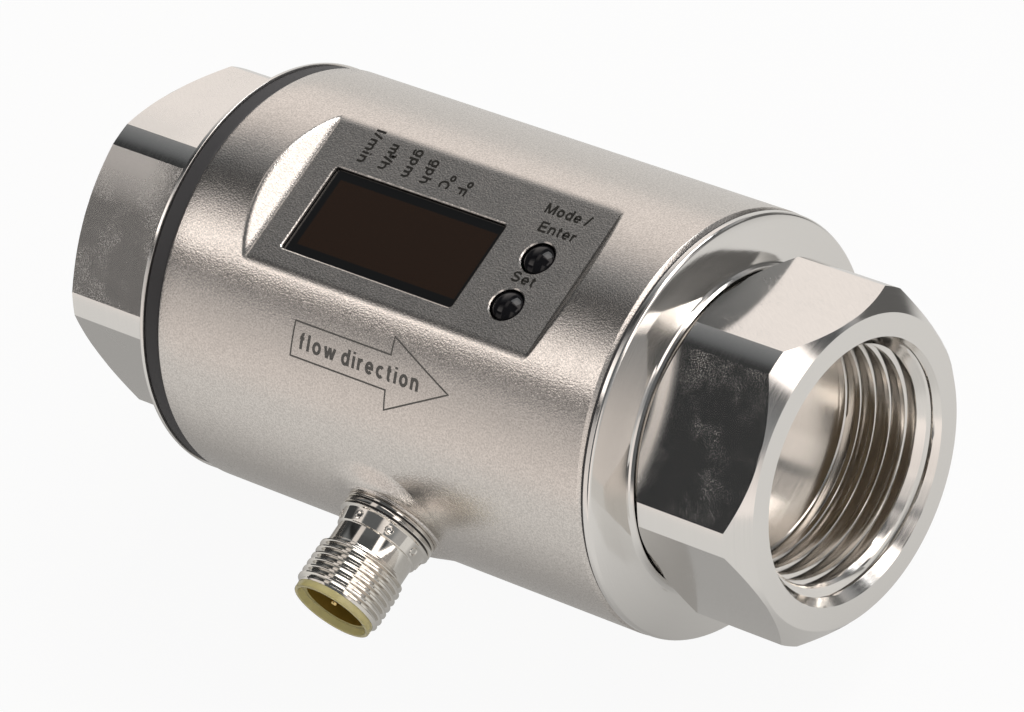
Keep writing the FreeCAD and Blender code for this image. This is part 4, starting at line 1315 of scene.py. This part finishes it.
class WorldTree:
    def __init__(self):
        world = bpy.data.worlds.new("studioWorld")
        bpy.context.scene.world = world
        world.use_nodes = True
        self.tree = world.node_tree
        self.background = self.tree.nodes["Background"]
        coords = self.tree.nodes.new("ShaderNodeTexCoord")
        parts = self.tree.nodes.new("ShaderNodeSeparateXYZ")
        self.tree.links.new(coords.outputs["Generated"], parts.inputs["Vector"])
        self.x, self.y, self.z = (parts.outputs[axis] for axis in "XYZ")

    def math(self, operation, first, second):
        made = self.tree.nodes.new("ShaderNodeMath")
        made.operation = operation
        for socket, value in zip(made.inputs, (first, second)):
            if isinstance(value, (int, float)):
                socket.default_value = value
            else:
                self.tree.links.new(value, socket)
        return made.outputs["Value"]

    def share(self, value, low, high):
        # 0 at low, 1 at high, smooth between
        made = self.tree.nodes.new("ShaderNodeMapRange")
        made.interpolation_type = "SMOOTHSTEP"
        turned = low > high
        made.inputs["From Min"].default_value = min(low, high)
        made.inputs["From Max"].default_value = max(low, high)
        made.inputs["To Min"].default_value = 1.0 if turned else 0.0
        made.inputs["To Max"].default_value = 0.0 if turned else 1.0
        self.tree.links.new(value, made.inputs["Value"])
        return made.outputs["Result"]

    def ramp(self, value, walls):
        made = self.tree.nodes.new("ShaderNodeValToRGB")
        made.color_ramp.interpolation = "EASE"
        stops = made.color_ramp.elements
        while len(stops) < len(walls):
            stops.new(1.0)
        for stop, (degrees, level) in zip(stops, walls):
            stop.position = degrees / 180
            stop.color = tint(level)
        self.tree.links.new(value, made.inputs["Fac"])
        return made.outputs["Color"]

    def mix(self, share, first, second):
        made = self.tree.nodes.new("ShaderNodeMix")
        made.data_type = "RGBA"
        for socket, value in ((made.inputs[0], share), (made.inputs[6], first), (made.inputs[7], second)):
            if isinstance(value, tuple):
                socket.default_value = value
            else:
                self.tree.links.new(value, socket)
        return made.outputs[2]


worldScale = 2.5                # ramps hold levels up to this
wallTint = {"cool": (0.96, 1.0, 1.03), "warm": (1.03, 0.955, 0.905), "from": 0.1, "over": 0.6}


def tint(level):
    # bright walls are warm and dark ones cool; stored at part scale, raised again by the background
    warm = ease((level - wallTint["from"]) / wallTint["over"])
    color = [cool + (pale - cool) * warm for cool, pale in zip(wallTint["cool"], wallTint["warm"])]
    return (*(c * level / worldScale for c in color), 1)


def makeWorld():
    w = WorldTree()
    turn = w.math("DIVIDE", w.math("ARCTAN2", w.z, w.y), math.pi)
    room = w.mix(w.share(w.x, *roomMiddle), w.ramp(turn, inletWalls), w.ramp(turn, outletWalls))
    for low, high, level in roomEnds.values():
        room = w.mix(w.share(w.x, low, high), room, tint(level))
    for band in softBands:
        share = 1.0
        for value, limits in ((w.x, band["x"]), (turn, [a / 180 for a in band["turn"]])):
            start, full, last, stop = limits
            part = w.math("MULTIPLY", w.share(value, start, full), w.share(value, stop, last))
            share = w.math("MULTIPLY", share, part)
        room = w.mix(share, room, tint(band["level"]))
    seen = w.tree.nodes.new("ShaderNodeLightPath")
    shown = w.mix(seen.outputs["Is Camera Ray"], room, (1 / worldScale,) * 3 + (1,))
    w.tree.links.new(shown, w.background.inputs["Color"])
    w.background.inputs["Strength"].default_value = worldScale


# a soft lamp behind the part, for the floor's shadow
lampLook = {"place": (0.10, 0.60, 0.55), "size": (0.5, 0.5), "power": 2.5}


def makeLamp():
    look = lampLook
    light = bpy.data.lights.new("softBehind", "AREA")
    light.shape = "RECTANGLE"
    light.size, light.size_y = look["size"]
    light.energy = look["power"]
    lamp = bpy.data.objects.new("softBehind", light)
    bpy.context.scene.collection.objects.link(lamp)
    lamp.location = look["place"]
    lamp.rotation_mode = "QUATERNION"
    lamp.rotation_quaternion = (-Vector(look["place"])).to_track_quat("-Z", "Y")


# the camera looks from far off at a point near the pipe's axis, turned about its own axis
cameraSizes = {"azimuth": 61.60, "elevation": 47.94, "roll": 34.15, "distance": 0.79075,
               "target": (0.00108, -0.00046, -0.00106), "lens": 220.66, "sensor": 36, "clip": (0.05, 20)}


def makeCamera():
    c = cameraSizes
    azimuth, elevation = math.radians(c["azimuth"]), math.radians(c["elevation"])
    back = Vector((math.sin(azimuth) * math.cos(elevation), -math.cos(azimuth) * math.cos(elevation),
                   math.sin(elevation)))
    data = bpy.data.cameras.new("camera")
    data.lens = c["lens"]
    data.sensor_width = c["sensor"]
    data.clip_start, data.clip_end = c["clip"]
    camera = bpy.data.objects.new("camera", data)
    bpy.context.scene.collection.objects.link(camera)
    right = Vector((math.cos(azimuth), math.sin(azimuth), 0))
    up = back.cross(right)
    level = Matrix((right, up, back)).transposed()
    turned = level @ Matrix.Rotation(math.radians(-c["roll"]), 3, "Z")
    camera.rotation_mode = "QUATERNION"
    camera.rotation_quaternion = turned.to_quaternion()
    camera.location = Vector(c["target"]) + back * c["distance"]
    bpy.context.scene.camera = camera


makeFloor()
makeWorld()
makeLamp()
makeCamera()
bpy.context.scene.view_settings.view_transform = "Standard"
print("stage set")
